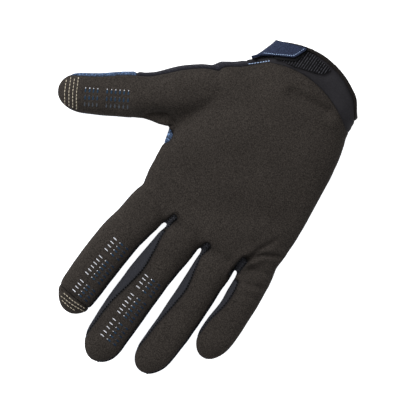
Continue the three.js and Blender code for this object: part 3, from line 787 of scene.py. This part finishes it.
def shade(colour, amount):
    """A linear colour made lighter or darker, with its alpha."""
    return (*[min(1, c * amount) for c in colour], 1)


def new_material(name, roughness, sheen=0.0, sheen_tint=(1, 1, 1), gloss=0.06):
    """A material's tree and shader, and its pattern space in millimetres."""
    material = bpy.data.materials.new(name)
    material.use_nodes = True
    tree = material.node_tree
    shader = tree.nodes["Principled BSDF"]
    shader.inputs["Roughness"].default_value = roughness
    shader.inputs["Specular IOR Level"].default_value = gloss
    shader.inputs["Sheen Weight"].default_value = sheen
    shader.inputs["Sheen Tint"].default_value = (*sheen_tint, 1)
    shader.inputs["Sheen Roughness"].default_value = 0.5
    space = add_node(tree, "ShaderNodeTexCoord", {}, {})
    inputs = {"Vector": space.outputs["Object"], "Scale": (1 / MM, 1 / MM, 1 / MM)}
    space = add_node(tree, "ShaderNodeMapping", {}, inputs)
    return material, tree, shader, space.outputs["Vector"]


def mix_of(tree, factor, first, second):
    """A colour between two others."""
    inputs = {0: factor, 6: first, 7: second}
    return add_node(tree, "ShaderNodeMix", {"data_type": "RGBA"}, inputs).outputs[2]


def math_of(tree, operation, first, second=0.0):
    """The result of one sum."""
    return add_node(tree, "ShaderNodeMath", {"operation": operation}, {0: first, 1: second}).outputs[0]


def map_of(tree, value, low, high, start=0.0, end=1.0):
    """A value's range stretched to another."""
    inputs = {0: value, 1: low, 2: high, 3: start, 4: end}
    return add_node(tree, "ShaderNodeMapRange", {"clamp": True}, inputs).outputs[0]


def noise_of(tree, space, scale, detail=3.0, roughness=0.5):
    """Noise, with features of about one millimetre over its scale."""
    inputs = {"Vector": space, "Scale": scale, "Detail": detail, "Roughness": roughness}
    return add_node(tree, "ShaderNodeTexNoise", {}, inputs).outputs[0]


def chevrons(tree, width, height):
    """The rows of knitted loops: small chevrons on the cloth's own grid, sized in millimetres."""
    grid = add_node(tree, "ShaderNodeUVMap", {"uv_map": "cloth"}, {})
    parts = add_node(tree, "ShaderNodeSeparateXYZ", {}, {0: grid.outputs[0]})
    column = math_of(tree, "PINGPONG", parts.outputs[0], width / 2)
    column = math_of(tree, "DIVIDE", column, width)
    row = math_of(tree, "DIVIDE", parts.outputs[1], height)
    turn = math_of(tree, "MULTIPLY", math_of(tree, "ADD", column, row), TAU)
    wave = math_of(tree, "MULTIPLY", math_of(tree, "SINE", turn), 0.5)
    return math_of(tree, "ADD", wave, 0.5), grid.outputs[0]


def bump_of(tree, height, strength, distance):
    inputs = {"Strength": strength, "Distance": distance * MM, "Height": height}
    return add_node(tree, "ShaderNodeBump", {}, inputs).outputs[0]


def finish_material(material, colour, height, strength, distance):
    """Gives a material its colour and its bump."""
    tree = material.node_tree
    shader = tree.nodes["Principled BSDF"]
    tree.links.new(colour, shader.inputs["Base Color"])
    tree.links.new(bump_of(tree, height, strength, distance), shader.inputs["Normal"])
    return material


def multiplied(tree, factor, first, second):
    """One colour multiplied by another, by a factor."""
    settings = {"data_type": "RGBA", "blend_type": "MULTIPLY"}
    return add_node(tree, "ShaderNodeMix", settings, {0: factor, 6: first, 7: second}).outputs[2]


def seam_shadow(tree, colour, amount):
    """Darkens a colour toward the seams with painted shade, as if the seam's dip lay in shadow."""
    seam = add_node(tree, "ShaderNodeAttribute", {"attribute_name": "seam"}, {}).outputs["Fac"]
    # The painted shade: a dark grey multiplied in by nearness to a seam.
    return multiplied(tree, math_of(tree, "MULTIPLY", seam, amount), colour, (0.12, 0.12, 0.14, 1))


def suede_material(colour):
    """Synthetic suede: a matt brushed nap whose tufts break the colour into a fine grain, without gloss."""
    warm = (0.9, 0.86, 0.8)
    material, tree, _, space = new_material("synthetic_suede", 0.95, sheen=0.03, sheen_tint=warm)
    # The nap's fibres lie in tufts of less than a millimetre, brushed a little this way and that.
    nap = noise_of(tree, space, 1.5, 3.0, 0.7)
    stroke = noise_of(tree, space, 0.05, 2.0, 0.5)
    tone = mix_of(tree, map_of(tree, nap, 0.34, 0.66), shade(colour, 0.4), shade(colour, 1.75))
    brushed = mix_of(tree, map_of(tree, stroke, 0.35, 0.65), (0.9, 0.9, 0.9, 1), (1, 1, 1, 1))
    tone = multiplied(tree, 1.0, tone, brushed)
    # Toward the seams the colour is darkened with painted shade.
    return finish_material(material, seam_shadow(tree, tone, 0.75), nap, 0.5, 0.3)


def heather_material(name, colour, fleck, loop, contrast, seam_shade=0.6):
    """Heather knit: dyed and undyed yarns in soft loops, so the colour breaks into dark and pale flecks."""
    material, tree, _, _ = new_material(name, 0.9)
    rows, grid = chevrons(tree, loop, loop * 0.8)
    inputs = {"Vector": grid, "Scale": (1 / fleck, 0.6 / fleck, 1)}
    streaks = add_node(tree, "ShaderNodeMapping", {}, inputs)
    yarn = noise_of(tree, streaks.outputs[0], 1.0, 2.0, 0.6)
    pale = noise_of(tree, streaks.outputs[0], 1.7, 1.0, 0.5)
    dark = shade(colour, 1 - 0.85 * min(contrast, 1))
    tone = mix_of(tree, map_of(tree, yarn, 0.38, 0.6), dark, shade(colour, 1 + 0.3 * contrast))
    tone = mix_of(tree, map_of(tree, pale, 0.58, 0.68), tone, shade(colour, 1 + 3.5 * contrast))
    tone = mix_of(tree, map_of(tree, rows, 0.0, 0.6, 0.45, 0.0), tone, shade(colour, 0.3))
    # Toward the seams the colour is darkened with painted shade, by the last argument's amount.
    return finish_material(material, seam_shadow(tree, tone, seam_shade), rows, 0.5, 0.2)


def cuff_material(colour):
    """Laminated cuff cloth: a close weave over foam, dull, with a fine even grain."""
    material, tree, _, space = new_material("laminated_cuff_cloth", 0.88, sheen=0.02)
    weave = noise_of(tree, space, 1.3, 2.0, 0.5)
    wide = noise_of(tree, space, 0.08, 2.0, 0.5)
    both = math_of(tree, "ADD", math_of(tree, "MULTIPLY", weave, 0.4), math_of(tree, "MULTIPLY", wide, 0.6))
    tone = mix_of(tree, map_of(tree, both, 0.35, 0.65), shade(colour, 0.75), shade(colour, 1.2))
    # Toward the seams the colour is darkened with painted shade.
    return finish_material(material, seam_shadow(tree, tone, 0.6), weave, 0.3, 0.2)


def tape_material(name, colour, pitch, roughness=0.7):
    """Woven tape: fine ribs across it, a little glossier than the cloth."""
    material, tree, _, space = new_material(name, roughness, sheen=0.05)
    wave = add_node(tree, "ShaderNodeTexWave", {"bands_direction": "DIAGONAL"},
                    {"Vector": space, "Scale": 0.5 / pitch, "Distortion": 1.5, "Detail": 1.0}).outputs[1]
    grain = noise_of(tree, space, 1.5, 3.0, 0.6)
    both = math_of(tree, "ADD", math_of(tree, "MULTIPLY", wave, 0.5), math_of(tree, "MULTIPLY", grain, 0.5))
    tone = mix_of(tree, map_of(tree, both, 0.25, 0.75), shade(colour, 0.55), shade(colour, 1.5))
    return finish_material(material, tone, both, 0.5, 0.2)


def pad_material(colour, first):
    """Ribbed loop tape: black, with a thin lighter grey line, in patches, along the top of each rib."""
    material, tree, _, space = new_material("ribbed_loop_tape", 0.8, sheen=0.02)
    parts = add_node(tree, "ShaderNodeSeparateXYZ", {}, {0: space})
    phase = math_of(tree, "DIVIDE", math_of(tree, "SUBTRACT", parts.outputs[0], first), PAD["rib_pitch"])
    crest = map_of(tree, math_of(tree, "PINGPONG", phase, 0.5), 0.06, 0.2, 1.0, 0.0)
    patches = map_of(tree, noise_of(tree, space, 1.2, 2.0, 0.6), 0.3, 0.6)
    # The top of each rib is made a lighter grey, in patches set by noise.
    tone = mix_of(tree, math_of(tree, "MULTIPLY", crest, patches), shade(colour, 0.5), shade(colour, 9))
    return finish_material(material, tone, noise_of(tree, space, 2.0, 2.0, 0.6), 0.4, 0.2)


def tab_material(colour):
    """Heather cloth with a dull finish: fine light and dark specks in a dark blue ground."""
    material, tree, _, space = new_material("dull_heather_cloth", 0.7)
    speck = noise_of(tree, space, 1.4, 2.0, 0.7)
    tone = mix_of(tree, map_of(tree, speck, 0.36, 0.64), shade(colour, 0.6), shade(colour, 1.5))
    return finish_material(material, tone, speck, 0.25, 0.12)


def thread_material(name, colour):
    """Polyester thread: twisted and slightly glossy."""
    material, tree, _, space = new_material(name, 0.6, sheen=0.03)
    twist = noise_of(tree, space, 2.6, 2.0, 0.6)
    tone = mix_of(tree, map_of(tree, twist, 0.3, 0.7), shade(colour, 0.7), shade(colour, 1.2))
    return finish_material(material, tone, twist, 0.4, 0.1)


def print_material(name, colour):
    """Printed silicone: smooth, rounded and faintly glossy."""
    material, tree, _, space = new_material(name, 0.42)
    cloud = noise_of(tree, space, 0.9, 2.0, 0.6)
    tone = mix_of(tree, map_of(tree, cloud, 0.3, 0.7), shade(colour, 0.8), shade(colour, 1.12))
    return finish_material(material, tone, cloud, 0.15, 0.1)


def dress(obj, material, nodes=()):
    """Gives a finished piece its material, its ride and the solids that it stands for."""
    obj.data.materials.clear()
    obj.data.materials.append(material)
    for face in obj.data.polygons:
        face.use_smooth = True
    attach(obj, "root")
    if nodes:
        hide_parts(*nodes)
    return obj


class OBJECT_OT_glove_cloth(bpy.types.Operator):
    """Makes the panels, the fourchettes, the fingertip cap, the cuff and its binding from one skin"""
    bl_idname = "object.glove_cloth"
    bl_label = "Cloth panels"

    def execute(self, context):
        sizes, colours = context.scene.glove_cloth, context.scene.glove_colours
        skin = glove_skin(sizes.fineness / MM, sizes.unevenness / MM)
        cut_panels(skin)
        sink_seams(skin, sizes.seam_depth / MM, sizes.seam_width / MM)
        suede = suede_material(colours.suede)
        knit = heather_material("heather_knit", colours.knit, 1.1, 1.0, 0.85)
        side = heather_material("dark_side_knit", colours.side, 0.9, 0.9, 0.25)
        stretch = heather_material("stretch_jersey", colours.stretch, 0.8, 0.7, 0.18, 0.1)
        cuff = cuff_material(colours.cuff)
        binding = tape_material("binding_tape", colours.binding, 0.8)
        looks = {
            "back_panel": (knit, "back_knit", "back"), "rim_binding": (binding, "binding_tape", "cuff"),
            "cuff": (cuff, "cuff_stretch", "cuff"), "index_tip_cap": (suede, "palm_suede", "back"),
            "palm_panel": (suede, "palm_suede", "back"), "thumb_back": (knit, "thumb_knit", "thumb"),
            "side_panel": (side, "side_knit", "back"), "thumb_gusset": (knit, None, "back"),
        }
        beside = skin.verts.layers.int.new("beside")
        part = skin.faces.layers.int["part"]
        numbers = {vert: {f[part] for f in vert.link_faces} for vert in skin.verts}
        for number, name in enumerate(PARTS):
            material, slot, owner = looks.get(name, (stretch, "fourchette_stretch", "back"))
            stands_for = [] if name == "thumb_gusset" else [name]
            for vert, found in numbers.items():
                rest = [n for n in found if n != number]
                vert[beside] = rest[0] + 1 if len(rest) == 1 and number in found else 0
            panel = skin.copy()
            own = panel.faces.layers.int["part"]
            bmesh.ops.delete(panel, geom=[f for f in panel.faces if f[own] != number], context="FACES")
            panel.verts.index_update()
            cloth_map(panel, places_of(panel), owner)
            # The binding is wrapped over the cuff's edge, so no light comes between them.
            pull_edges(panel, 0 if owner == "cuff" else sizes.seam_gap / MM)
            panel.normal_update()
            grow = {"index_tip_cap": CAP["grow"], "rim_binding": BINDING["grow"]}.get(name, 0)
            for vert, normal in [(v, v.normal.copy()) for v in panel.verts]:
                vert.co += normal * grow
                vert.co.z = max(vert.co.z, 0)
            to_metres(panel)
            obj = link_mesh(panel, name + "_cloth")
            wall = obj.modifiers.new("wall", "SOLIDIFY")
            wall.thickness = sizes.cuff_wall if owner == "cuff" else sizes.panel_wall
            wall.offset = -1
            dress(obj, material, stands_for)
        skin.free()
        return {"FINISHED"}


def strap_axes():
    """The tab's root at the cuff's thumb side, and the directions along and across it."""
    place = hand_place(TAB["up"])
    root = np.array([place["spot"][0] + place["half_width"] + TAB["out"], place["spot"][1]])
    slant = math.radians(TAB["slant"])
    along = np.array([-math.cos(slant), -math.sin(slant)])
    return root, along, np.array([-math.sin(slant), math.cos(slant)])


def strap_outline(outline, size, margin=0.0):
    """A closure piece's outline on the ground, with its corners rounded."""
    root, along, across = strap_axes()
    corners = []
    for far, side in outline:
        far_mm = far * size["length"] + (0.5 * margin if far > 0.5 else 0)
        side_mm = side * size["width"] + (margin if side > 0 else 0)
        corners.append(root + along * far_mm + across * side_mm)
    for _ in range(2):
        cut = []
        for first, second in zip(corners, corners[1:] + corners[:1]):
            step = second - first
            inset = min(0.25, 0.9 / np.linalg.norm(step))
            cut += [first + step * inset, second - step * inset]
        corners = cut
    return corners


def inside_field(outline, points):
    """How far points are inside an outline on the ground, below zero outside it."""
    gap, _ = line_distance(points, [*outline, outline[0]])
    inside = np.zeros(len(points), bool)
    for first, second in zip(outline, outline[1:] + outline[:1]):
        spans = (first[1] > points[:, 1]) != (second[1] > points[:, 1])
        rise = second[1] - first[1]
        cross = first[0] + (points[:, 1] - first[1]) * (second[0] - first[0]) / (rise if rise else 1e-9)
        inside ^= spans & (points[:, 0] < cross)
    return np.where(inside, gap, -gap)


def cuff_layer(low, high, turns, shares, steps):
    """A sheet over the cuff that lies low round the thumb side and climbs over the pad on the palm side."""
    bm = bmesh.new()
    bmesh.ops.create_grid(bm, x_segments=steps[0], y_segments=steps[1], size=0.5)
    grid = places_of(bm)
    turn = turns[0] + (grid[:, 0] + 0.5) * (turns[1] - turns[0])
    place = hand_place(shares[0] + (grid[:, 1] + 0.5) * (shares[1] - shares[0]))
    climb = np.where(turn > 0, smooth_step(turn, *CLIMB), 0)
    for vert, spot in zip(bm.verts, ring_points(place, turn, low + (high - low) * climb)):
        vert.co = spot
    bm.verts.layers.float.new("field")
    bm.faces.layers.int.new("part")
    return bm


def trim_to(bm, field):
    """Keeps the side of a sheet where a field is above zero."""
    part = bm.faces.layers.int["part"]
    cut_along(bm, field)
    bmesh.ops.delete(bm, geom=[f for f in bm.faces if f[part] == 0], context="FACES")
    for face in bm.faces:
        face[part] = 0


def finish_layer(bm, name, wall, round_, material):
    """Turns a trimmed sheet into a piece with a wall and rounded edges."""
    bmesh.ops.recalc_face_normals(bm, faces=bm.faces)
    if sum(f.normal.z for f in bm.faces) < 0:
        bmesh.ops.reverse_faces(bm, faces=bm.faces)
    to_metres(bm)
    obj = link_mesh(bm, name + "_piece")
    solid = obj.modifiers.new("wall", "SOLIDIFY")
    solid.thickness = wall * MM
    solid.offset = 1
    bevel = obj.modifiers.new("edge", "BEVEL")
    bevel.width = round_ * MM
    bevel.segments = 2
    bevel.limit_method = "ANGLE"
    bevel.angle_limit = math.radians(50)
    return dress(obj, material, [name])


def layer_bases():
    """How far above the cuff the pad, the hook tape and the tab lie, and the tab at the thumb side."""
    hook = LAYER_GAP + PAD["wall"] + LAYER_GAP
    tab = hook + HOOK["wall"] + LAYER_GAP
    return LAYER_GAP, hook, tab, BINDING["grow"] + LAYER_GAP


class OBJECT_OT_glove_closure(bpy.types.Operator):
    """Makes the ribbed loop pad on the cuff, the hook tape that grips it, and the tab above them"""
    bl_idname = "object.glove_closure"
    bl_label = "Wrist closure"

    def execute(self, context):
        colours = context.scene.glove_colours
        pad_base, hook_base, tab_base, side_base = layer_bases()
        pad = cuff_layer(pad_base, pad_base, **SHEETS["pad"])
        trim_to(pad, lambda p: inside_field(strap_outline(PAD_OUTLINE, PAD), p))
        trim_to(pad, lambda p: arc_field(RIM, p) - BINDING["width"] - 0.6)
        loop = pad_material(colours.loop, first_rib())
        obj = finish_layer(pad, "loop_patch", PAD["wall"], 0.25, loop)
        obj.modifiers.clear()
        rib_pad(obj)

        hook = cuff_layer(hook_base, hook_base, **SHEETS["hook"])
        root, along, _ = strap_axes()
        start = along @ root + HOOK["start"] * TAB["length"]
        trim_to(hook, lambda p: inside_field(strap_outline(TAB_OUTLINE, TAB, HOOK["margin"]), p))
        trim_to(hook, lambda p: p[:, :2] @ along - start)
        tape = tape_material("moulded_hook_tape", colours.hook, 0.7, 0.55)
        finish_layer(hook, "tab_hook", HOOK["wall"], 0.15, tape)

        tab = cuff_layer(side_base, tab_base, **SHEETS["tab"])
        trim_to(tab, lambda p: inside_field(strap_outline(TAB_OUTLINE, TAB), p))
        trim_to(tab, lambda p: p[:, 2] - TAB["height"])
        finish_layer(tab, "closure_tab", TAB["wall"], 0.45, tab_material(colours.tab))
        return {"FINISHED"}


def first_rib():
    """Where the pad's row of ribs starts, across the hand."""
    root, along, _ = strap_axes()
    return root[0] + along[0] * PAD["length"]


def rib_pad(obj):
    """Gives the pad its wall and presses a row of ribs into its top."""
    first = first_rib()
    bm = bmesh.new()
    bm.from_mesh(obj.data)
    for face in bm.faces:
        face.smooth = True
    low = list(bm.verts)
    bm.normal_update()
    bmesh.ops.solidify(bm, geom=bm.faces[:], thickness=-PAD["wall"] * MM)
    bm.normal_update()
    tree = nearest_tree([vert.co for vert in low])
    for vert in bm.verts:
        if vert.normal.z > 0.3 and tree.find(vert.co)[2] > 0.5 * PAD["wall"] * MM:
            phase = (vert.co.x / MM - first) / PAD["rib_pitch"]
            dip = 0.5 - 0.5 * math.cos(TAU * phase)
            vert.co -= vert.normal * PAD["rib_depth"] * MM * dip ** 1.5
    bm.to_mesh(obj.data)
    bm.free()


def tree_of(*names):
    """The surfaces of some pieces, for finding places on them."""
    bm = bmesh.new()
    for name in names:
        bm.from_mesh(bpy.data.objects[name].data)
    tree = BVHTree.FromBMesh(bm)
    bm.free()
    return tree


def dropped(x, y, tree):
    """The place and the normal where a point in metres over the ground falls on a surface."""
    return tree.ray_cast(Vector((x, y, 0.1)), Vector((0, 0, -1)))[:2]


def drape(path, tree):
    """Drops a path on the ground, in millimetres, on to a surface. Gives the places and the normals."""
    places = []
    for first, second in zip(path, path[1:]):
        first, second = np.array(first, float), np.array(second, float)
        count = max(2, int(np.linalg.norm(second - first) / 0.15))
        for i in range(count):
            x, y = (first + (second - first) * i / count) * MM
            spot, normal = dropped(x, y, tree)
            if spot and normal.z > 0.12:
                places.append((spot, normal))
    return places


def in_rows(places, pitch, start=0.5):
    """Even steps along a chain of places: the place, the way on and the normal at each."""
    travelled, due, steps = 0.0, pitch * start, []
    for (first, normal), (second, _) in zip(places, places[1:]):
        gap = (second - first).length
        if gap > LONGEST_STEP * MM:
            continue
        while travelled + gap >= due:
            spot = first.lerp(second, (due - travelled) / gap)
            steps.append((spot, (second - first).normalized(), normal))
            due += pitch
        travelled += gap
    return steps


def stand(spot, way, normal, lift):
    """The turn and place of a small shape whose length lies along a way on a surface."""
    side = normal.cross(way).normalized()
    way = side.cross(normal).normalized()
    turn = Matrix((way, side, normal)).transposed().to_4x4()
    return Matrix.Translation(spot + normal * lift) @ turn


def scatter(name, shape, size, stands, material):
    """Copies one small shape to many places, as one piece."""
    bm = bmesh.new()
    if shape == "stitch":
        lying = Matrix.Rotation(math.pi / 2, 4, "Y")
        bmesh.ops.create_uvsphere(bm, u_segments=8, v_segments=6, radius=0.5, matrix=lying)
    elif shape == "dot":
        bmesh.ops.create_icosphere(bm, subdivisions=2, radius=0.5)
    else:
        bmesh.ops.create_cube(bm, size=1)
        bmesh.ops.bevel(bm, geom=bm.edges[:], offset=0.28, offset_type="OFFSET", segments=2, profile=0.5,
                        affect="EDGES", material=-1, clamp_overlap=True)
    bmesh.ops.scale(bm, vec=[s * MM for s in size], verts=bm.verts)
    first = bm.verts[:] + bm.edges[:] + bm.faces[:]
    for place in stands:
        copy = bmesh.ops.duplicate(bm, geom=first)["geom"]
        bmesh.ops.transform(bm, matrix=place, verts=[e for e in copy if isinstance(e, bmesh.types.BMVert)])
    bmesh.ops.delete(bm, geom=[e for e in first if isinstance(e, bmesh.types.BMVert)], context="VERTS")
    return dress(link_mesh(bm, name), material)


def sew(name, steps, material, kind=None):
    """Sets one stitch at every step, as one piece."""
    stitch = STITCHES[kind or name]
    stands = [stand(*step, stitch["lift"] * MM) for step in steps]
    return scatter(name, "stitch", stitch["size"], stands, material)


def finger_spot(name, from_tip, across):
    """A place on the ground from its distance to a fingertip and its distance across the finger's axis."""
    root, along, sideways = finger_axes(name)
    return root + along * (FINGERS[name]["length"] - from_tip) + sideways * across


def edge_chains(obj, number):
    """The chains of points on a panel's edge where one other panel lies beside it."""
    bm = bmesh.new()
    bm.from_mesh(obj.data)
    beside = bm.verts.layers.int["beside"]
    edges = {e for e in bm.edges if e.is_boundary and all(v[beside] == number + 1 for v in e.verts)}
    chains = []
    while edges:
        edge = edges.pop()
        chain = list(edge.verts)
        for end in (-1, 0):
            while True:
                more = [e for e in chain[end].link_edges if e in edges]
                if not more:
                    break
                edges.discard(more[0])
                other = more[0].other_vert(chain[end])
                chain = chain + [other] if end else [other] + chain
        chains.append([v.co.copy() for v in chain])
    bm.free()
    return chains


def beside_edge(chain, tree, offset):
    """A chain of edge points moved on to the panel by a small distance."""
    places = []
    for before, spot, after in zip(chain, chain[1:], chain[2:]):
        way = (after - before).normalized()
        _, normal, _, _ = tree.find_nearest(spot)
        for side in (1, -1):
            moved = spot + normal.cross(way).normalized() * offset * side
            found, on, _, gap = tree.find_nearest(moved)
            if gap < 0.3 * offset:
                places.append((found, on))
                break
    return places


def gather_arc(place, turn, row):
    """One row of gathers at a crotch, as an arc on the ground."""
    x, y = place
    turn = math.radians(turn)
    arc = []
    for k in range(GATHERS["steps"] + 1):
        angle = math.pi * k / GATHERS["steps"]
        u = GATHERS["half_width"] * math.cos(angle)
        v = GATHERS["start"] - GATHERS["pitch"] * row - GATHERS["bulge"] * math.sin(angle)
        arc.append((
            x + u * math.cos(turn) + v * math.sin(turn),
            y + v * math.cos(turn) - u * math.sin(turn)))
    return arc


class OBJECT_OT_glove_stitches(bpy.types.Operator):
    """Makes the black seam stitches, and the light blue ones at the wrist and on the tab"""
    bl_idname = "object.glove_stitches"
    bl_label = "Seam stitches"

    def execute(self, context):
        sizes, colours = context.scene.glove_cloth, context.scene.glove_colours
        black = thread_material("black_polyester_thread", colours.black_thread)
        steps = []
        for name in FOURCHETTES:
            tree = tree_of(name + "_cloth")
            for chain in edge_chains(bpy.data.objects[name + "_cloth"], PARTS.index("palm_panel")):
                steps += in_rows(beside_edge(chain, tree, 0.5 * MM), sizes.stitch_pitch)
        sew("palm_seam_stitches", steps, black)

        webs = tree_of("palm_panel_cloth", *[name + "_cloth" for name in FOURCHETTES])
        steps = []
        pitch = STITCHES["web_gathers"]["pitch"] * MM
        for place, turn in zip(GATHERS["places"], GATHERS["turns"]):
            for i in range(GATHERS["count"]):
                steps += in_rows(drape(gather_arc(place, turn, i), webs), pitch)
        sew("web_gathers", steps, black)

        blue = thread_material("light_blue_polyester_thread", colours.blue_thread)
        around = tree_of("palm_panel_cloth", "cuff_cloth", "side_panel_cloth")
        steps = in_rows(drape(WRIST_STITCH_LINE, around), STITCHES["wrist_stitches"]["pitch"] * MM)
        sew("wrist_stitches", steps, blue)

        graph = bpy.context.evaluated_depsgraph_get()
        top = BVHTree.FromObject(bpy.data.objects["closure_tab_piece"], graph)
        root, along, across = strap_axes()
        path = [
            root + along * far * TAB["length"] + across * side * TAB["width"] for far, side in TAB_STITCH_LINE]
        sew("tab_stitches", in_rows(drape(path, top), STITCHES["tab_stitches"]["pitch"] * MM), blue)
        return {"FINISHED"}


class OBJECT_OT_glove_print(bpy.types.Operator):
    """Makes the rows of silicone dashes and dots on the index, middle finger and thumb"""
    bl_idname = "object.glove_print"
    bl_label = "Grip print"

    def execute(self, context):
        colours = context.scene.glove_colours
        tree = tree_of("palm_panel_cloth", "index_tip_cap_cloth")
        found = {}
        for name, groups in GRIP.items():
            for distances, first in groups:
                for from_tip in distances:
                    for offset, kind in (THUMB_ROWS if name == "thumb" else LONG_ROWS):
                        spot = finger_spot(name, from_tip, first + offset)
                        ahead = finger_spot(name, from_tip - 0.06, first + offset - 1)
                        spot, normal = dropped(*spot * MM, tree)
                        if spot and normal.z > 0.2:
                            way = Vector((*ahead * MM, spot.z)) - spot
                            way -= normal * way.dot(normal)
                            mark = stand(spot, way.normalized(), normal, 0.04 * MM)
                            found.setdefault(kind, []).append(mark)
        inks = {"white": colours.white_print, "blue": colours.blue_print, "grey": colours.grey_print,
                "dark": colours.navy_print}
        inks = {ink: print_material(ink + "_silicone_print", colour) for ink, colour in inks.items()}
        for name, shape, size, kind, ink in PRINT_PIECES:
            scatter(name, shape, size, found[kind], inks[ink])
        return {"FINISHED"}


class OBJECT_OT_glove_threads(bpy.types.Operator):
    """Makes the rows of tan conductive thread on the tips of the index finger and thumb"""
    bl_idname = "object.glove_threads"
    bl_label = "Thread rows"

    def execute(self, context):
        sizes, colours = context.scene.glove_cloth, context.scene.glove_colours
        tree = tree_of("palm_panel_cloth", "index_tip_cap_cloth")
        tan = thread_material("tan_conductive_thread", colours.tan_thread)
        for name, rows in THREAD_ROWS.items():
            steps = []
            for i, (start, end) in enumerate(rows):
                middle = ((start[0] + end[0]) / 2 - 0.5, (start[1] + end[1]) / 2)
                path = [finger_spot(name, *spot) for spot in (start, middle, end)]
                steps += in_rows(drape(path, tree), sizes.thread_pitch, 0.3 if i % 2 else 0.8)
            sew(name + "_thread_rows", steps, tan, "thread_rows")
        return {"FINISHED"}


class OBJECT_OT_glove_stage(bpy.types.Operator):
    """Makes the pale floor, the soft lights and the camera above the palm"""
    bl_idname = "object.glove_stage"
    bl_label = "Stage"

    def execute(self, context):
        look = context.scene.glove_stage
        bm = bmesh.new()
        bmesh.ops.create_grid(bm, x_segments=1, y_segments=1, size=2.5)
        floor = link_mesh(bm, "floor")
        material, tree, shader, space = new_material("matt_paper", 0.9)
        fibre = noise_of(tree, space, 0.05, 2.0, 0.5)
        tone = mix_of(tree, fibre, shade(look.floor, 0.98), shade(look.floor, 1.0))
        tree.links.new(tone, shader.inputs["Base Color"])
        # The sheet is lit from below too, as a light table is, so it stays pale between the fingers.
        shader.inputs["Emission Color"].default_value = (1, 1, 1, 1)
        shader.inputs["Emission Strength"].default_value = look.table_glow
        floor.data.materials.append(material)

        world = bpy.data.worlds.new("studio")
        world.use_nodes = True
        world.node_tree.nodes["Background"].inputs[0].default_value = (1, 1, 1, 1)
        world.node_tree.nodes["Background"].inputs[1].default_value = WORLD_STRENGTH
        context.scene.world = world

        # The key light comes from the upper left of the picture, which is the thumb's side.
        powers = {"key": look.key_power, "fill": look.fill_power}
        for name, (offset, size) in LIGHTS.items():
            light = bpy.data.lights.new(name, "AREA")
            light.shape = "SQUARE"
            light.size = size
            light.energy = powers[name]
            obj = bpy.data.objects.new(name, light)
            obj.location = Vector(AIM) + Vector(offset)
            obj.rotation_euler = (-Vector(offset)).to_track_quat("-Z", "Y").to_euler()
            context.scene.collection.objects.link(obj)

        camera = bpy.data.cameras.new("camera")
        camera.sensor_width = SENSOR
        camera.lens = SENSOR * look.camera_height / look.view_width
        camera.clip_end = 10
        obj = bpy.data.objects.new("camera", camera)
        right, up = Vector(PICTURE_RIGHT).normalized(), Vector(PICTURE_UP).normalized()
        turn = Matrix((right, up, Vector((0, 0, 1)))).transposed().to_4x4()
        x, y, z = CAMERA_SPOT
        obj.matrix_world = Matrix.Translation((x, y, z + look.camera_height)) @ turn
        context.scene.collection.objects.link(obj)
        context.scene.camera = obj
        context.scene.view_settings.view_transform = "Standard"
        return {"FINISHED"}


class VIEW3D_PT_glove(bpy.types.Panel):
    """Lists the steps that make the glove"""
    bl_label = "Cycling glove"
    bl_idname = "VIEW3D_PT_glove"
    bl_space_type = "VIEW_3D"
    bl_region_type = "UI"
    bl_category = "Glove"

    def draw(self, context):
        for step in STEPS:
            self.layout.operator(step.bl_idname)
        for group in (context.scene.glove_cloth, context.scene.glove_colours, context.scene.glove_stage):
            for name in group.__annotations__:
                self.layout.prop(group, name)


STEPS = [
    OBJECT_OT_glove_cloth,
    OBJECT_OT_glove_closure,
    OBJECT_OT_glove_stitches,
    OBJECT_OT_glove_print,
    OBJECT_OT_glove_threads,
    OBJECT_OT_glove_stage,
]
CLASSES = [GloveCloth, GloveColours, GloveStage, *STEPS, VIEW3D_PT_glove]


def register():
    for cls in CLASSES:
        bpy.utils.register_class(cls)
    bpy.types.Scene.glove_cloth = bpy.props.PointerProperty(type=GloveCloth)
    bpy.types.Scene.glove_colours = bpy.props.PointerProperty(type=GloveColours)
    bpy.types.Scene.glove_stage = bpy.props.PointerProperty(type=GloveStage)


def unregister():
    del bpy.types.Scene.glove_stage
    del bpy.types.Scene.glove_colours
    del bpy.types.Scene.glove_cloth
    for cls in reversed(CLASSES):
        bpy.utils.unregister_class(cls)


def main():
    register()
    bpy.ops.object.glove_cloth()
    bpy.ops.object.glove_closure()
    bpy.ops.object.glove_stitches()
    bpy.ops.object.glove_print()
    bpy.ops.object.glove_threads()
    bpy.ops.object.glove_stage()


if __name__ == "__main__":
    main()
